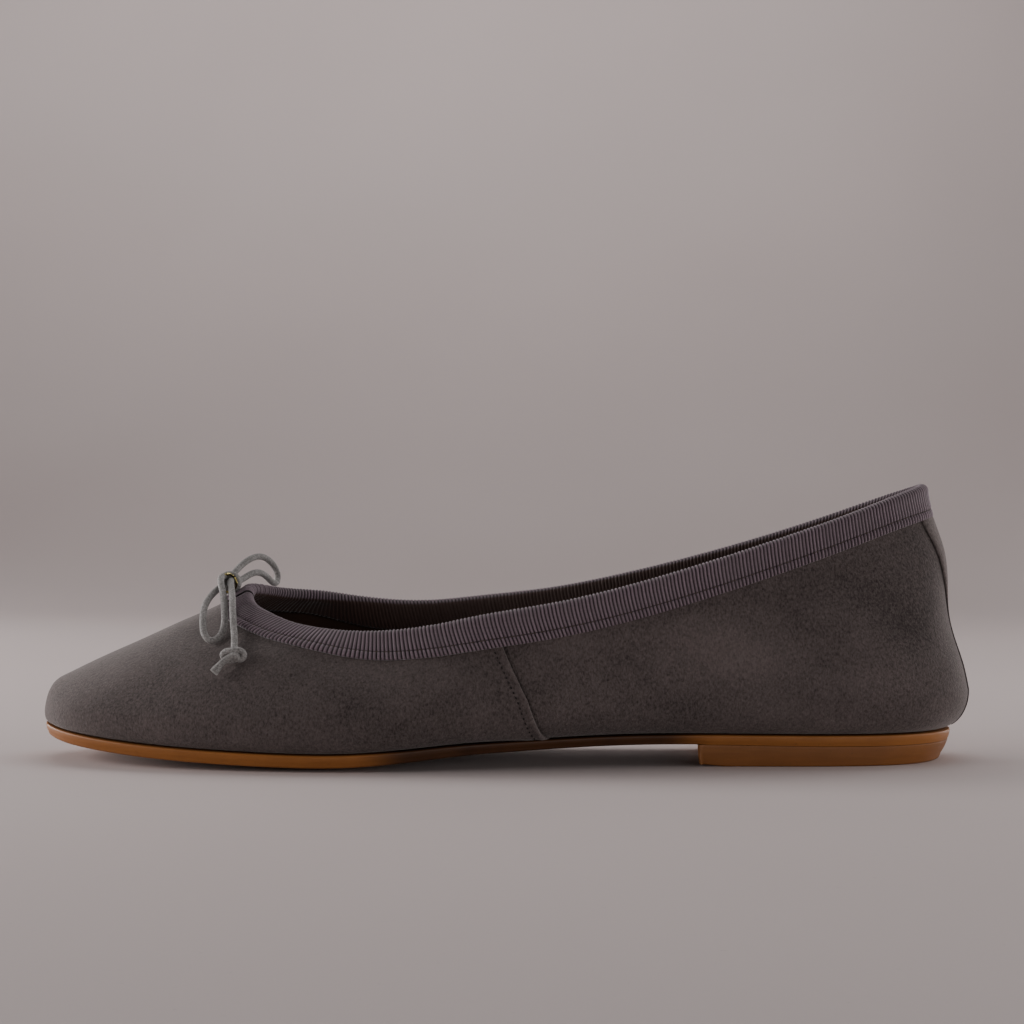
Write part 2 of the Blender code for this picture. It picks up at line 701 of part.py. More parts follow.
def make_plate(name, finish, collection, top, bottom, first_x, insets, slant=0.0):
    """A closed plate in the sole's outline between two height functions of (x, side)."""
    faces, points = [], []
    side = np.linspace(-1, 1, ACROSS + 1)
    for height, inset in zip((top, bottom), insets):
        rows = plate_rows(first_x, slant, inset)
        for row in rows:
            points += [(x, y, height(x, s)) for (x, y), s in zip(row, side)]
    width = ACROSS + 1
    count = ALONG + 1
    below_by = width * count
    for i in range(ALONG):
        for j in range(ACROSS):
            a = i * width + j
            faces.append((a, a + 1, a + 1 + width, a + width))
            low = a + below_by
            faces.append((low, low + width, low + 1 + width, low + 1))
    for i in range(ALONG):
        for j in (0, ACROSS):
            a, b = i * width + j, (i + 1) * width + j
            faces.append((a, b, b + below_by, a + below_by))
    for i in (0, ALONG):
        for j in range(ACROSS):
            a = i * width + j
            faces.append((a, a + 1, a + 1 + below_by, a + below_by))
    mesh = bpy.data.meshes.new(name)
    mesh.from_pydata(points, [], faces)
    tidy = bmesh.new()
    tidy.from_mesh(mesh)
    bmesh.ops.remove_doubles(tidy, verts=tidy.verts, dist=2e-5)
    bmesh.ops.dissolve_degenerate(tidy, edges=tidy.edges, dist=1e-6)
    bmesh.ops.recalc_face_normals(tidy, faces=tidy.faces)
    tidy.to_mesh(mesh)
    tidy.free()
    plate = add_object(name, mesh, finish, collection)
    mesh.shade_smooth()
    mesh.set_sharp_from_angle(angle=math.radians(40))
    return plate


def top_height(x, _side):
    return float(sole_top(np.array([x]))[0])


def sole_bottom(x, side):
    """The sole's underside: crowned along the middle, and cut flat where it meets the floor."""
    share = along(np.array([x]))
    edge = sole_top(np.array([x])) - side_thickness(share) * SOLE_THICKNESS
    height = float((edge - side_crown(share) * SOLE_CROWN * (1 - side**2))[0])
    return max(height, 0.0)


def heel_top(x, side):
    return sole_bottom(x, side) - GAP


def heel_bottom(x, _side):
    lift = 1 - (x - HEEL_BREAST_X) / HEEL_FRONT_RUN
    return HEEL_FRONT_LIFT * max(lift, 0.0)


def insole_bottom(x, _side):
    return top_height(x, 0) + GAP + UPPER_WALL + GAP


def insole_top(x, _side):
    return insole_bottom(x, 0) + INSOLE_THICKNESS


def knot_place(offset):
    return Vector(KNOT) + Vector(offset) * MM


def smooth_route(offsets, spacing):
    """Points at even spacing on a smooth curve through a cord's own points."""
    points = np.array([knot_place(p) for p in offsets])
    chord = np.concatenate([[0], np.cumsum(np.linalg.norm(np.diff(points, axis=0), axis=1))])
    dense = spline(chord, points)(np.linspace(0, chord[-1], 400))
    reach = np.concatenate([[0], np.cumsum(np.linalg.norm(np.diff(dense, axis=0), axis=1))])
    wanted = np.linspace(0, reach[-1], max(4, round(reach[-1] / spacing) + 1))
    return np.stack([np.interp(wanted, reach, dense[:, k]) for k in range(3)], axis=1)


def make_cord(name, offsets, collection):
    curve = bpy.data.curves.new(name, "CURVE")
    curve.dimensions = "3D"
    curve.bevel_depth = CORD / 2
    curve.bevel_resolution = 2
    curve.use_fill_caps = True
    points = smooth_route(offsets, CORD)
    line = curve.splines.new("POLY")
    line.points.add(len(points) - 1)
    for point, place in zip(line.points, points):
        point.co = (*place, 1.0)
    return add_object(name, curve, "cord", collection)


def ball_mesh(name, sizes):
    """An oval ball of the given three sizes about the origin."""
    ball = bmesh.new()
    bmesh.ops.create_uvsphere(ball, u_segments=14, v_segments=8, radius=0.5)
    bmesh.ops.scale(ball, vec=sizes, verts=ball.verts)
    mesh = bpy.data.meshes.new(name)
    ball.to_mesh(mesh)
    ball.free()
    return mesh


def make_knot(collection):
    """The bow's centre, where both loops and both tails come together."""
    mesh = ball_mesh("bow_knot", (KNOT_DEPTH, KNOT_WIDTH, KNOT_HEIGHT))
    knot = add_object("bow_knot", mesh, "cord", collection)
    knot.location = knot_place((0, 0, 0)) - Vector((0, 0, KNOT_SAG))
    mesh.shade_smooth()
    return knot


def make_tail_knot(name, tail, collection):
    """The overhand knot that stops a tail, with the short end that sticks out of it."""
    end, before = knot_place(tail[-1]), knot_place(tail[-2])
    run = (end - before).normalized()
    centre = end + run * (TAIL_KNOT / 2 + GAP)
    mesh = ball_mesh(name, (TAIL_KNOT * 1.4, TAIL_KNOT * 0.9, TAIL_KNOT * 0.85))
    knot = add_object(name, mesh, "cord", collection)
    knot.location = centre
    mesh.shade_smooth()
    return knot


def make_eyelet(collection):
    """The small brass eyelet round the cords where they come out of the knot on the outer side."""
    outward_y = KNOT_WIDTH / 2 - EYELET_INSET
    bpy.ops.mesh.primitive_torus_add(
        major_radius=EYELET_RADIUS,
        minor_radius=EYELET_WIRE / 2,
        major_segments=20,
        minor_segments=6,
        location=knot_place((0, 0, 0)) - Vector((0, outward_y, KNOT_SAG)),
        rotation=(math.pi / 2, 0, 0),
    )
    eyelet = bpy.context.object
    eyelet.name = eyelet.data.name = "eyelet"
    eyelet.data.materials.append(material("brass"))
    for owner in list(eyelet.users_collection):
        owner.objects.unlink(eyelet)
    collection.objects.link(eyelet)
    eyelet.data.shade_smooth()
    return eyelet


def centre(collection):
    """Moves the shoe so that the middle of its box, the bow's cords left out, is over the origin."""
    graph = bpy.context.evaluated_depsgraph_get()
    corners = []
    for obj in collection.objects:
        if obj.type == "MESH" and "cord" not in obj.data.materials:
            seen = obj.evaluated_get(graph)
            corners += [seen.matrix_world @ Vector(corner) for corner in seen.bound_box]
    middle = [(min(c[k] for c in corners) + max(c[k] for c in corners)) / 2 for k in (0, 1)]
    for obj in collection.objects:
        obj.location -= Vector((*middle, 0.0))


def main():
    for obj in list(bpy.data.objects):
        bpy.data.objects.remove(obj)
    shoe = bpy.data.collections.new("ballet_flat")
    bpy.context.scene.collection.children.link(shoe)
    taper = (0.0, SOLE_EDGE_TAPER)
    make_plate("outsole", "sole", shoe, top_height, sole_bottom, SOLE_TIP_X, taper)
    heel_insets = (SOLE_EDGE_TAPER, SOLE_EDGE_TAPER + HEEL_TAPER)
    heel_faces = (heel_top, heel_bottom)
    make_plate("heel", "sole", shoe, *heel_faces, HEEL_BREAST_X, heel_insets, HEEL_BREAST_SLANT)
    inset = FEATHER_INSET + INSOLE_EASE
    make_plate("insole", "lining", shoe, insole_top, insole_bottom, SOLE_TIP_X, (inset, inset))
    make_upper(shoe)
    make_binding(shoe)
    make_back_strip(shoe)
    make_knot(shoe)
    make_eyelet(shoe)
    make_cord("bow_loop_lateral", LOOP_LATERAL, shoe)
    make_cord("bow_loop_medial", LOOP_MEDIAL, shoe)
    make_cord("bow_tail_lateral", TAIL_LATERAL, shoe)
    make_cord("bow_tail_medial", TAIL_MEDIAL, shoe)
    make_tail_knot("tail_knot_lateral", TAIL_LATERAL, shoe)
    make_tail_knot("tail_knot_medial", TAIL_MEDIAL, shoe)
    centre(shoe)


main()
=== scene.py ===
"""Looks of the ballet flat: its surfaces, stitching and bow, and the stage, camera and lights.

The surfaces follow the same named sizes and tables as the solids. Lengths are in metres. The toe
points along -X, the outer (lateral) side faces -Y and the floor is Z = 0.
"""

import math

import bmesh
import bpy
import numpy as np
from mathutils import Matrix, Vector


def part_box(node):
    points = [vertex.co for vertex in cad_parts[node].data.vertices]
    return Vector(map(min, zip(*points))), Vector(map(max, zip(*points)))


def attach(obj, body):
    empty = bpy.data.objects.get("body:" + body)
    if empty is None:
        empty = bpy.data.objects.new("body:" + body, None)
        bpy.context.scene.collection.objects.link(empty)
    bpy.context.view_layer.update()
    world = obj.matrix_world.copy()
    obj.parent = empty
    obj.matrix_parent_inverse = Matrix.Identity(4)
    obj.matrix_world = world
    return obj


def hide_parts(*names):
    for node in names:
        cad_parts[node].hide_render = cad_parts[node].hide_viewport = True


# The sole
SOLE_LENGTH = 0.2443
TOE_INSET = 0.0003  # from the front of the upper back to the tip of the sole
BALL_WIDTH = 0.0780
TOE_TIP_SHIFT = 0.0030  # the tip lies this far towards the inner side
SEAT_HEIGHT = 0.0081  # top of the sole above the floor, under the heel
SOLE_THICKNESS = 0.0031  # at the forefoot's edge
SOLE_CROWN = 0.0017  # how much thicker the forefoot is along its middle
SOLE_EDGE_TAPER = 0.0006
HEEL_LENGTH = 0.0700  # from the back of the sole forward to the heel's breast, on the outer side
HEEL_BREAST_SLANT = 0.0042  # the breast ends this much further back on the inner side
HEEL_TAPER = 0.0019
HEEL_FRONT_LIFT = 0.0007
HEEL_FRONT_RUN = 0.0070
HEEL_SIDE_TAPER = 0.0006
HEEL_BREAST_TAPER = 0.0004

# The upper
HEEL_OVERHANG = 0.0048  # how far the upper bulges out past the sole at the back
BULGE_RISE = 0.0105  # from the sole up to the upper's widest line
FEATHER_INSET = 0.0025  # from the sole's edge in to where the upper leaves it
LASTING_MARGIN = 0.0050
UPPER_WALL = 0.0013
FRONT_REACH = 0.1250  # from the middle of the shoe forward to the front of the upper
VAMP_LENGTH = 0.0546  # from the front of the upper back to the throat
VAMP_WALL_LENGTH = 0.0570  # from the front back to where the walls stop being the vamp's alone
QUARTER_WALL_START = 0.1000  # from the front back to where they become the quarters' alone
BACK_HEIGHT = 0.0719  # rim of the upper above the floor, at the back
OPENING_LENGTH = 0.1834  # from throat to back
OPENING_WIDTH = 0.0620
RIDGE_HEIGHT = 0.0449  # rim of the upper above the floor, at the throat
SEAM_STEP = 0.0007  # the front panel laps over the back panel
SEAM_FOOT_ALONG = 0.1368  # from the sole's tip back to the seam's foot
SEAM_SWEEP = 0.0072  # from the foot the seam runs this far forward up to the widest line
SEAM_TOP_SWEEP = 0.0047  # and the rim's end of it lies this far forward
SEAM_SWEEP_REACH = 0.0350
SEAM_FADE = 0.0200
SUEDE_WALL = 0.0008
LINING_WALL = 0.0004

# What is sewn and laid on it
GAP = 0.0003
BINDING_GAP = 0.0004
RIBBON = 0.0006
BINDING_DROP = 0.0074
STRIP_THICKNESS = 0.0008
STRIP_HALF_WIDTH = 0.0094
STRIP_UNDER_RIBBON = 0.0010  # how far the strip reaches up under the ribbon
STRIP_FACES = (0.00015, 0.0002)  # its underside, and its face's edge, above the upper
STRIP_THIN = 0.30  # share of its thickness in its lower half
STRIP_EDGE = 0.25  # share of it at its sides
STRIP_WIDE_LIGHTER = 0.9  # how much lighter its wide part is
# painted shade along the strip's cut edges
STRIP_EDGE_SHADE = -0.8
STRIP_FOOT_ROW = 3  # of the upper's rows above the margin
STRIP_ROWS = 90
STRIP_ACROSS = 25
STRIP_RIBS = 61  # of the upper, over which it is laid
INSOLE_THICKNESS = 0.0018
INSOLE_EASE = 0.0017

# Ribbon, stitches and seam
RIB_PITCH = 0.00099
RIB_DEPTH = 0.00020
STITCH_ABOVE_EDGE = 0.0022  # from the ribbon's lower edge up to its stitch line
STITCH_PITCH = 0.0026
STITCH_LENGTH = 0.0017
THREAD = 0.00030
STITCH_GROOVE = 0.00026  # how deep the stitches draw the ribbon in
STITCH_GROOVE_REACH = 0.00034
RIBBON_EDGE_DROP = 0.00022  # how much its lower edge lies closer to the suede
RIBBON_EDGE_RUN = 0.0007
RIBBON_CLEAR = 0.0001  # between the ribbon's underside and the upper
RIBBON_FLAT = 0.0006  # above the ribbon's edge the suede under it is flat
SEAM_EDGE_RUN = 0.0003  # over which the lap's edge rises
SEAM_FOLD = 0.00030  # how much the folded edge stands out over the lap
SEAM_FOLD_AT = 0.0008  # from the edge forward to the fold's crest
SEAM_FOLD_REACH = 0.0008
SEAM_STITCH_AT = 0.0027  # from the edge forward to its stitches
SEAM_GROOVE = 0.00010
SEAM_GROOVE_REACH = 0.0005
SEAM_TUCK = 0.00015  # how far the back panel is drawn in beside the edge
SEAM_TUCK_REACH = 0.0012
SEAM_STITCH = 0.0007
SEAM_PITCH = 0.0014
SEAM_THREAD = 0.00044
SEAM_THREAD_LIFT = 0.00002
SEAM_STITCHES_FROM = 0.0012  # below the ribbon's edge
SEAM_STITCHES_TO = 0.0015  # above the sole
FOLD_HIGHLIGHT = 1.5  # painted highlight: how much lighter the fold is
FOLD_HIGHLIGHT_AT = 0.0004
FOLD_HIGHLIGHT_REACH = 0.0005
FOLD_SHADE = 2.2  # how much darker it is in the line behind the edge
FOLD_SHADE_BEHIND = 0.0003
FOLD_SHADE_REACH = 0.0004
TOE_FULLNESS = 0.70  # how much earlier the toe swells out over the sole than the sides do
TOE_FULLNESS_REACH = 0.022

# The bow
CORD = 0.0018  # diameter
KNOT_AHEAD = 0.0048  # of the throat
KNOT_ABOVE = 0.0027  # the throat's rim
KNOT_ASIDE = 0.0010  # from the toe's line towards the outer side
WRAP_RADIUS = 0.0023
WRAP_TURNS = 1.7
WRAP_SPACING = 0.95  # from one turn to the next, in cord diameters
WRAP_MIDDLE = (0.2, 0.0, -0.8)  # in millimetres from the middle of the knot

FRONT_X = -FRONT_REACH
THROAT_X = FRONT_X + VAMP_LENGTH
VAMP_STARTS_X = FRONT_X + VAMP_WALL_LENGTH
QUARTER_STARTS_X = FRONT_X + QUARTER_WALL_START
SOLE_TIP_X = FRONT_X + TOE_INSET
SOLE_BACK_X = SOLE_TIP_X + SOLE_LENGTH
HEEL_BREAST_X = SOLE_BACK_X - HEEL_LENGTH
SEAM_FOOT_X = SOLE_TIP_X + SEAM_FOOT_ALONG
KNOT = (THROAT_X - KNOT_AHEAD, TOE_TIP_SHIFT - KNOT_ASIDE, RIDGE_HEIGHT + KNOT_ABOVE)
MM = 0.001

# Outline of the sole's top: along from the tip as a share of SOLE_LENGTH, and the distance of
# each side from the middle line as a share of BALL_WIDTH.
OUTLINE = [
    # along, lateral, medial
    (0.013, 0.100, 0.172),
    (0.040, 0.212, 0.268),
    (0.081, 0.304, 0.349),
    (0.142, 0.393, 0.424),
    (0.216, 0.463, 0.478),
    (0.285, 0.500, 0.491),
    (0.355, 0.509, 0.458),
    (0.429, 0.487, 0.382),
    (0.510, 0.433, 0.301),
    (0.613, 0.372, 0.256),
    (0.715, 0.342, 0.264),
    (0.817, 0.344, 0.303),
    (0.899, 0.325, 0.298),
    (0.961, 0.245, 0.228),
    (0.991, 0.126, 0.120),
]

# Side view of the sole: height of its top as a share of SEAT_HEIGHT, thickness of its edge as a
# share of SOLE_THICKNESS, and thickening along the middle as a share of SOLE_CROWN.
SIDE = [
    # along, top, thickness, crown
    (0.000, 1.160, 0.88, 0.20),
    (0.020, 1.060, 0.93, 0.40),
    (0.060, 0.900, 0.95, 0.70),
    (0.110, 0.760, 0.97, 0.90),
    (0.180, 0.635, 1.00, 1.00),
    (0.260, 0.550, 1.01, 1.00),
    (0.345, 0.535, 1.00, 1.00),
    (0.400, 0.640, 0.95, 0.90),
    (0.460, 0.800, 0.88, 0.60),
    (0.530, 0.900, 0.80, 0.40),
    (0.630, 1.010, 0.79, 0.20),
    (0.715, 1.020, 0.80, 0.00),
    (0.850, 0.990, 0.88, 0.00),
    (1.000, 1.000, 0.90, 0.00),
]

# How the upper stands over the sole: bulge past the edge as a share of HEEL_OVERHANG, and height
# of the widest line over the sole as a share of BULGE_RISE.
BULGE = [
    # along, lateral, medial, rise
    (0.000, 0.08, 0.08, 0.24),
    (0.030, 0.14, 0.14, 0.42),
    (0.110, 0.22, 0.24, 0.66),
    (0.300, 0.32, 0.34, 0.84),
    (0.450, 0.50, 0.75, 0.92),
    (0.620, 0.72, 1.15, 1.00),
    (0.760, 0.62, 0.95, 1.06),
    (0.900, 0.72, 0.84, 1.02),
    (1.000, 1.00, 1.00, 0.93),
]

# Rim of the upper, a row for each row of OUTLINE: along from the throat as a share of
# OPENING_LENGTH, distance of each side from the middle as a share of OPENING_WIDTH, and height
# over the throat as a share of the rise from the throat to the back.
RIM = [
    # lateral along, lateral, lateral height, medial along, medial, medial height
    (0.0022, 0.047, -0.037, 0.0011, 0.115, 0.007),
    (0.0082, 0.126, -0.111, 0.0076, 0.181, 0.004),
    (0.0224, 0.203, -0.181, 0.0185, 0.239, -0.011),
    (0.0458, 0.279, -0.248, 0.0365, 0.290, -0.035),
    (0.0823, 0.352, -0.330, 0.0660, 0.339, -0.057),
    (0.1309, 0.415, -0.381, 0.1052, 0.384, -0.080),
    (0.1859, 0.463, -0.404, 0.1543, 0.424, -0.137),
    (0.2497, 0.498, -0.378, 0.2230, 0.455, -0.191),
    (0.3304, 0.513, -0.291, 0.3168, 0.468, -0.180),
    (0.4651, 0.500, -0.126, 0.4602, 0.460, -0.063),
    (0.6028, 0.456, 0.107, 0.6031, 0.424, 0.144),
    (0.7492, 0.394, 0.415, 0.7492, 0.370, 0.419),
    (0.8686, 0.300, 0.689, 0.8686, 0.290, 0.685),
    (0.9520, 0.181, 0.893, 0.9520, 0.180, 0.889),
    (0.9885, 0.085, 0.972, 0.9885, 0.085, 0.972),
]

# Ridge of the vamp from the toe to the throat: along as a share of the vamp's length, and height
# as a share of RIDGE_HEIGHT.
RIDGE = [
    # along, height
    (0.0000, 0.263),
    (0.0190, 0.395),
    (0.0550, 0.458),
    (0.1130, 0.498),
    (0.2820, 0.597),
    (0.5080, 0.719),
    (0.7340, 0.842),
    (0.9040, 0.932),
    (1.0000, 1.000),
]
SLIDE_POWER = 1.3  # how early the quarters' ribs lean along the shoe
SWEEP_POWER = 0.45  # how much of the seams' sweep is close above the sole
VAMP_PAST = 1.6  # vamp lengths from the front up to which its surface is carried on past the throat
VAMP_PAST_RISE = 0.5  # how much it goes on rising there, as a share of RIDGE_HEIGHT a length
LATERAL_FALL = (1.8, 1.4)  # exponents of the vamp's cross-section on each side of the ridge
MEDIAL_FALL = (2.3, 1.8)

# How the quarters lean in between the widest line and the rim.
LEAN = [
    # height, share of the lean at the back, share at the sides
    (0.00, 0.00, 0.00),
    (0.13, 0.13, 0.05),
    (0.27, 0.34, 0.16),
    (0.38, 0.46, 0.28),
    (0.50, 0.52, 0.42),
    (0.60, 0.55, 0.54),
    (0.70, 0.62, 0.66),
    (0.80, 0.77, 0.78),
    (0.90, 0.92, 0.90),
    (1.00, 1.00, 1.00),
]

# Outline of the strip over the back seam: share of the way from the sole to the binding, and
# half width as a share of STRIP_HALF_WIDTH.
STRIP = [
    # up, half width
    (0.00, 0.48),
    (0.20, 0.44),
    (0.32, 0.36),
    (0.42, 0.25),
    (0.54, 0.25),
    (0.62, 0.42),
    (0.70, 0.66),
    (0.78, 0.82),
    (0.88, 0.94),
    (1.00, 1.00),
]

# Soft creases and brushed patches of the suede, each an oval on one side of the shoe: its middle
# along X and up Z and its half sizes in millimetres, the tilt of its long axis in degrees, how far
# it stands out (or in) in millimetres, and how much lighter (or darker) it is painted. That is
# partly brushed nap and partly painted light and shade: lighter on the creases' ridges and on
# lit patches, darker in their troughs and on shaded patches.
LATERAL_FOLDS = [
    # x, z, half length, half width, tilt, relief, nap and painted shading
    (29.0, 34.0, 20.0, 4.0, 9, 0.30, 0.5),
    (56.0, 32.5, 14.0, 4.5, -14, 0.30, 0.6),
    (70.0, 26.5, 9.0, 4.5, -20, 0.20, 0.4),
    (50.0, 19.0, 15.0, 5.0, 4, -0.40, -0.6),
    (94.0, 21.5, 11.0, 4.0, -6, 0.40, 0.6),
    (92.0, 14.0, 13.0, 2.6, -2, -0.35, -0.4),
    (96.0, 44.0, 11.0, 5.0, -40, -0.35, -0.8),
    (104.0, 34.0, 8.0, 5.0, -65, -0.25, -0.5),
    (80.0, 38.0, 9.0, 5.0, -30, 0.15, 0.1),
    (12.0, 24.0, 11.0, 3.5, 12, -0.25, -0.2),
    (-24.0, 25.0, 12.0, 4.0, 8, 0.30, 0.5),
    (-9.0, 20.5, 10.0, 5.0, 20, -0.20, -0.4),
    (-32.0, 14.0, 15.0, 5.0, 6, -0.35, -0.6),
    (-50.0, 19.0, 10.0, 4.0, 30, 0.20, 0.2),
    (-68.0, 21.0, 10.0, 6.0, -55, -0.40, -0.8),
    (-82.0, 24.0, 8.0, 5.0, 35, 0.15, 0.2),
    (-93.0, 19.5, 9.0, 4.0, 20, -0.25, -0.6),
    (-101.5, 23.5, 7.0, 4.0, 30, 0.15, 0.6),
    (-95.0, 10.0, 15.0, 2.6, -8, 0.15, 0.5),
    (62.0, 26.0, 22.0, 9.0, -8, 0.00, 1.5),
    (80.0, 47.0, 16.0, 5.0, 15, 0.00, -0.7),
    (-20.0, 22.0, 26.0, 7.0, 8, 0.00, 0.1),
    (112.0, 42.0, 9.0, 18.0, 0, 0.00, -1.5),
    (94.0, 13.0, 22.0, 4.0, 0, 0.00, 1.0),
    (-88.0, 32.0, 15.0, 6.0, 28, 0.00, -1.4),
]
MEDIAL_FOLDS = [
    # x, z, half length, half width, tilt, relief, nap and painted shading
    (34.0, 33.0, 18.0, 4.5, -10, 0.35, 0.5),
    (8.0, 26.0, 13.0, 4.0, 14, -0.40, -0.5),
    (20.0, 17.0, 16.0, 4.5, 5, 0.30, 0.3),
    (48.0, 21.0, 13.0, 5.0, -8, -0.40, -0.6),
    (66.0, 36.0, 12.0, 4.5, 18, 0.25, 0.4),
    (86.0, 28.0, 10.0, 5.0, 35, -0.30, -0.5),
    (98.0, 18.0, 9.0, 4.0, 8, 0.35, 0.5),
    (100.0, 45.0, 10.0, 4.5, 50, -0.25, -0.4),
    (-14.0, 30.0, 12.0, 4.5, -18, 0.30, 0.4),
    (-34.0, 22.0, 13.0, 5.0, -8, -0.35, -0.5),
    (-56.0, 24.0, 10.0, 4.5, -30, 0.25, 0.3),
    (-76.0, 17.0, 10.0, 4.0, -15, -0.30, -0.5),
    (-96.0, 18.0, 9.0, 4.0, -25, 0.15, 0.5),
]

RELIEF_COLUMN, NAP_AND_SHADING_COLUMN = 5, 6
SIDE_BLEND = 0.012  # width over the toe's line where the two sides' folds fade into each other
FOLD_RISE_ROWS = 5.0  # rows above the margin over which the folds come in
SEAM_RISE_ROWS = 2.0

# Gathers of the suede under the ribbon's edge: how long each wave is (in metres to a radian), where
# it starts (in radians) and its share of PUCKER_DEPTH.
PUCKERS = [
    # length, start, share
    (0.0047, 0.0, 0.5),
    (0.0021, 1.3, 0.3),
    (0.0083, 0.6, 0.5),
]
PUCKER_DEPTH = 0.00010
PUCKER_BELOW = 0.0015  # the ribbon's edge
PUCKER_REACH = 0.0035

# Middle lines of the bow's two cords, in millimetres along X, Y and Z from the middle of the
# knot. Each leaves the knot, makes its loop, goes back through the knot and ends as a tail.
OUTER_CORD = [
    (0.6, 1.8, -1.8),
    (-0.9, -1.4, -1.6),
    (-2.1, -5.0, -2.2),
    (-4.1, -11.4, -4.9),
    (-4.6, -17.0, -8.0),
    (-4.1, -21.4, -11.8),
    (-3.3, -23.1, -13.9),
    (-1.4, -24.0, -15.2),
    (0.5, -23.1, -14.0),
    (1.3, -21.2, -11.8),
    (0.9, -16.5, -7.6),
    (-0.4, -10.3, -2.8),
    (-1.5, -5.6, 0.3),
    (-1.3, -2.2, 1.0),
    (-0.6, 1.6, 0.5),
    (-0.5, 4.6, -0.8),
    (-1.0, 8.5, -2.0),
    (-1.4, 13.5, -4.0),
    (-1.6, 19.0, -6.4),
    (-1.4, 23.2, -8.6),
    (-1.2, 25.8, -10.0),
]
INNER_CORD = [
    (-1.4, -1.4, -1.2),
    (0.0, 1.4, 0.2),
    (0.9, 3.9, 1.7),
    (3.5, 8.5, 4.7),
    (6.0, 12.0, 6.0),
    (8.1, 15.5, 5.6),
    (9.9, 18.9, 3.6),
    (10.9, 20.7, 1.1),
    (10.9, 20.2, -1.1),
    (10.1, 18.0, -1.4),
    (8.8, 14.6, 0.2),
    (6.6, 10.5, 1.7),
    (4.4, 7.0, 1.0),
    (2.6, 4.2, -0.2),
    (1.5, 1.0, -0.3),
    (0.9, -2.0, -0.1),
    (1.1, -5.0, -0.6),
    (2.2, -11.3, -3.0),
    (3.3, -18.5, -6.8),
    (4.1, -23.2, -10.9),
    (4.9, -27.6, -14.7),
    (5.3, -31.9, -18.1),
]

# Middle line of an overhand knot at a tail's end, in cord diameters: across the tail, along it and
# out from the shoe. It starts in the tail and ends in the short free end.
END_KNOT = [
    # across, along, out
    (0.10, -0.60, 0.00),
    (0.25, 0.35, -0.35),
    (0.95, 0.85, -0.35),
    (1.45, 0.55, 0.10),
    (1.00, 0.15, 0.62),
    (0.00, 0.25, 0.80),
    (-1.00, 0.05, 0.60),
    (-1.55, 0.10, 0.00),
    (-1.15, 0.45, -0.50),
    (-0.20, 0.85, -0.35),
    (0.55, 1.00, 0.20),
    (0.20, 0.95, 0.55),
    (-0.65, 1.05, 0.30),
    (-1.45, 1.45, 0.00),
    (-2.20, 2.10, -0.35),
    (-2.85, 2.80, -0.70),
]
END_KNOT_WIDTH = 0.96  # of the knot's cord, in cord diameters
END_KNOT_FLARE = 1.28  # the free end's width at its cut, in cord diameters
END_KNOT_FLARE_FROM = 0.88  # share of its length from which it widens
END_KNOT_RISE = 0.45  # how much the knots face up as well as out

FINE = 1400  # sections from which distances are worked out
ROUTE_STEPS = 900  # along a cord, from which its even spacing is worked out
ROUTE_POINTS = 90
UPPER_AROUND = 470
UPPER_LOWER_ROWS = 12
UPPER_WALL_ROWS = 66
LINING_AROUND = 240
LINING_LOWER_ROWS = 5
LINING_WALL_ROWS = 40
MARGIN_SHARES = (1.0, 0.6, 0.25)
SEAM_RIBS = (  # millimetres ahead of a seam's edge at which the upper has its ribs
    -2.4, -1.6, -1.0, -0.6, -0.3, -0.1, 0.0, 0.1, 0.2, 0.3, 0.45,
    0.65, 0.9, 1.2, 1.5, 1.8, 2.05, 2.3, 2.55, 2.9, 3.4,
)
SAMPLE = 0.0002  # half the width over which the slope of a narrow stretch is read

# Meshes of the sole: points round it, the ends of its plates' middle lines and its rounded edges
SOLE_AROUND = 560
SOLE_CROWDING = 0.35  # how much closer the points lie round the toe and the back
HEEL_AROUND = 1200
HEEL_CORNER = 0.0005
BREAST_ACROSS = 60
AXIS_STEP = 0.002  # between the points of a slab's middle line
SOLE_AXIS = (0.030, 0.026)  # from the sole's tip and its back in to the ends of that line
SOCK_AXIS = (0.034, 0.030)
HEEL_AXIS = (0.012, 0.026)  # from the breast and the sole's back
SPOKE_SHARES = (0.0, 0.25, 0.5, 0.72, 0.88, 0.96)  # of the way from that line to the edge
SLAB_BULGE = 0.00012
SOLE_TOP_RADIUS = 0.0004
SOLE_UNDER_RADIUS = 0.0007
SOLE_HEEL_RADIUS = 0.0001  # under the sole's edge where the heel meets it
SOLE_HEEL_RUN = 0.003
WAIST_PAINTED_SHADE = (0.350, 0.735)  # shares of the sole's length between which its edge is painted dark: painted shade on the waist's edge
WAIST_FADE = 0.06
SOCK_DISH = 0.0003
SOCK_RADII = (0.0006, 0.0002)
HEEL_CLEAR = 0.00006  # between the outsole and the heel
HEEL_TOP_RADIUS = 0.0001
HEEL_UNDER_RADIUS = 0.0005
HEEL_REAR_RADIUS = 0.0011  # how much larger it is at the back
HEEL_BULGE = 0.0001

# The camera, from the picture's own perspective: level, square on to the outer side
IMAGE_SIZE = 1024
FOCAL_PIXELS = 2217.6
SENSOR = 36.0
CAMERA_PLACE = (0.0016, -0.6000, 0.0660)
LIGHT_COLOUR = (1.0, 0.970, 0.965)

# The sweep: a floor, a bend and an upright backdrop
SWEEP_FRONT = -1.6
SWEEP_BACK = 2.00
SWEEP_BEND = 1.15
SWEEP_HEIGHT = 2.4
SWEEP_HALF_WIDTH = 3.0
SWEEP_STEPS = 32

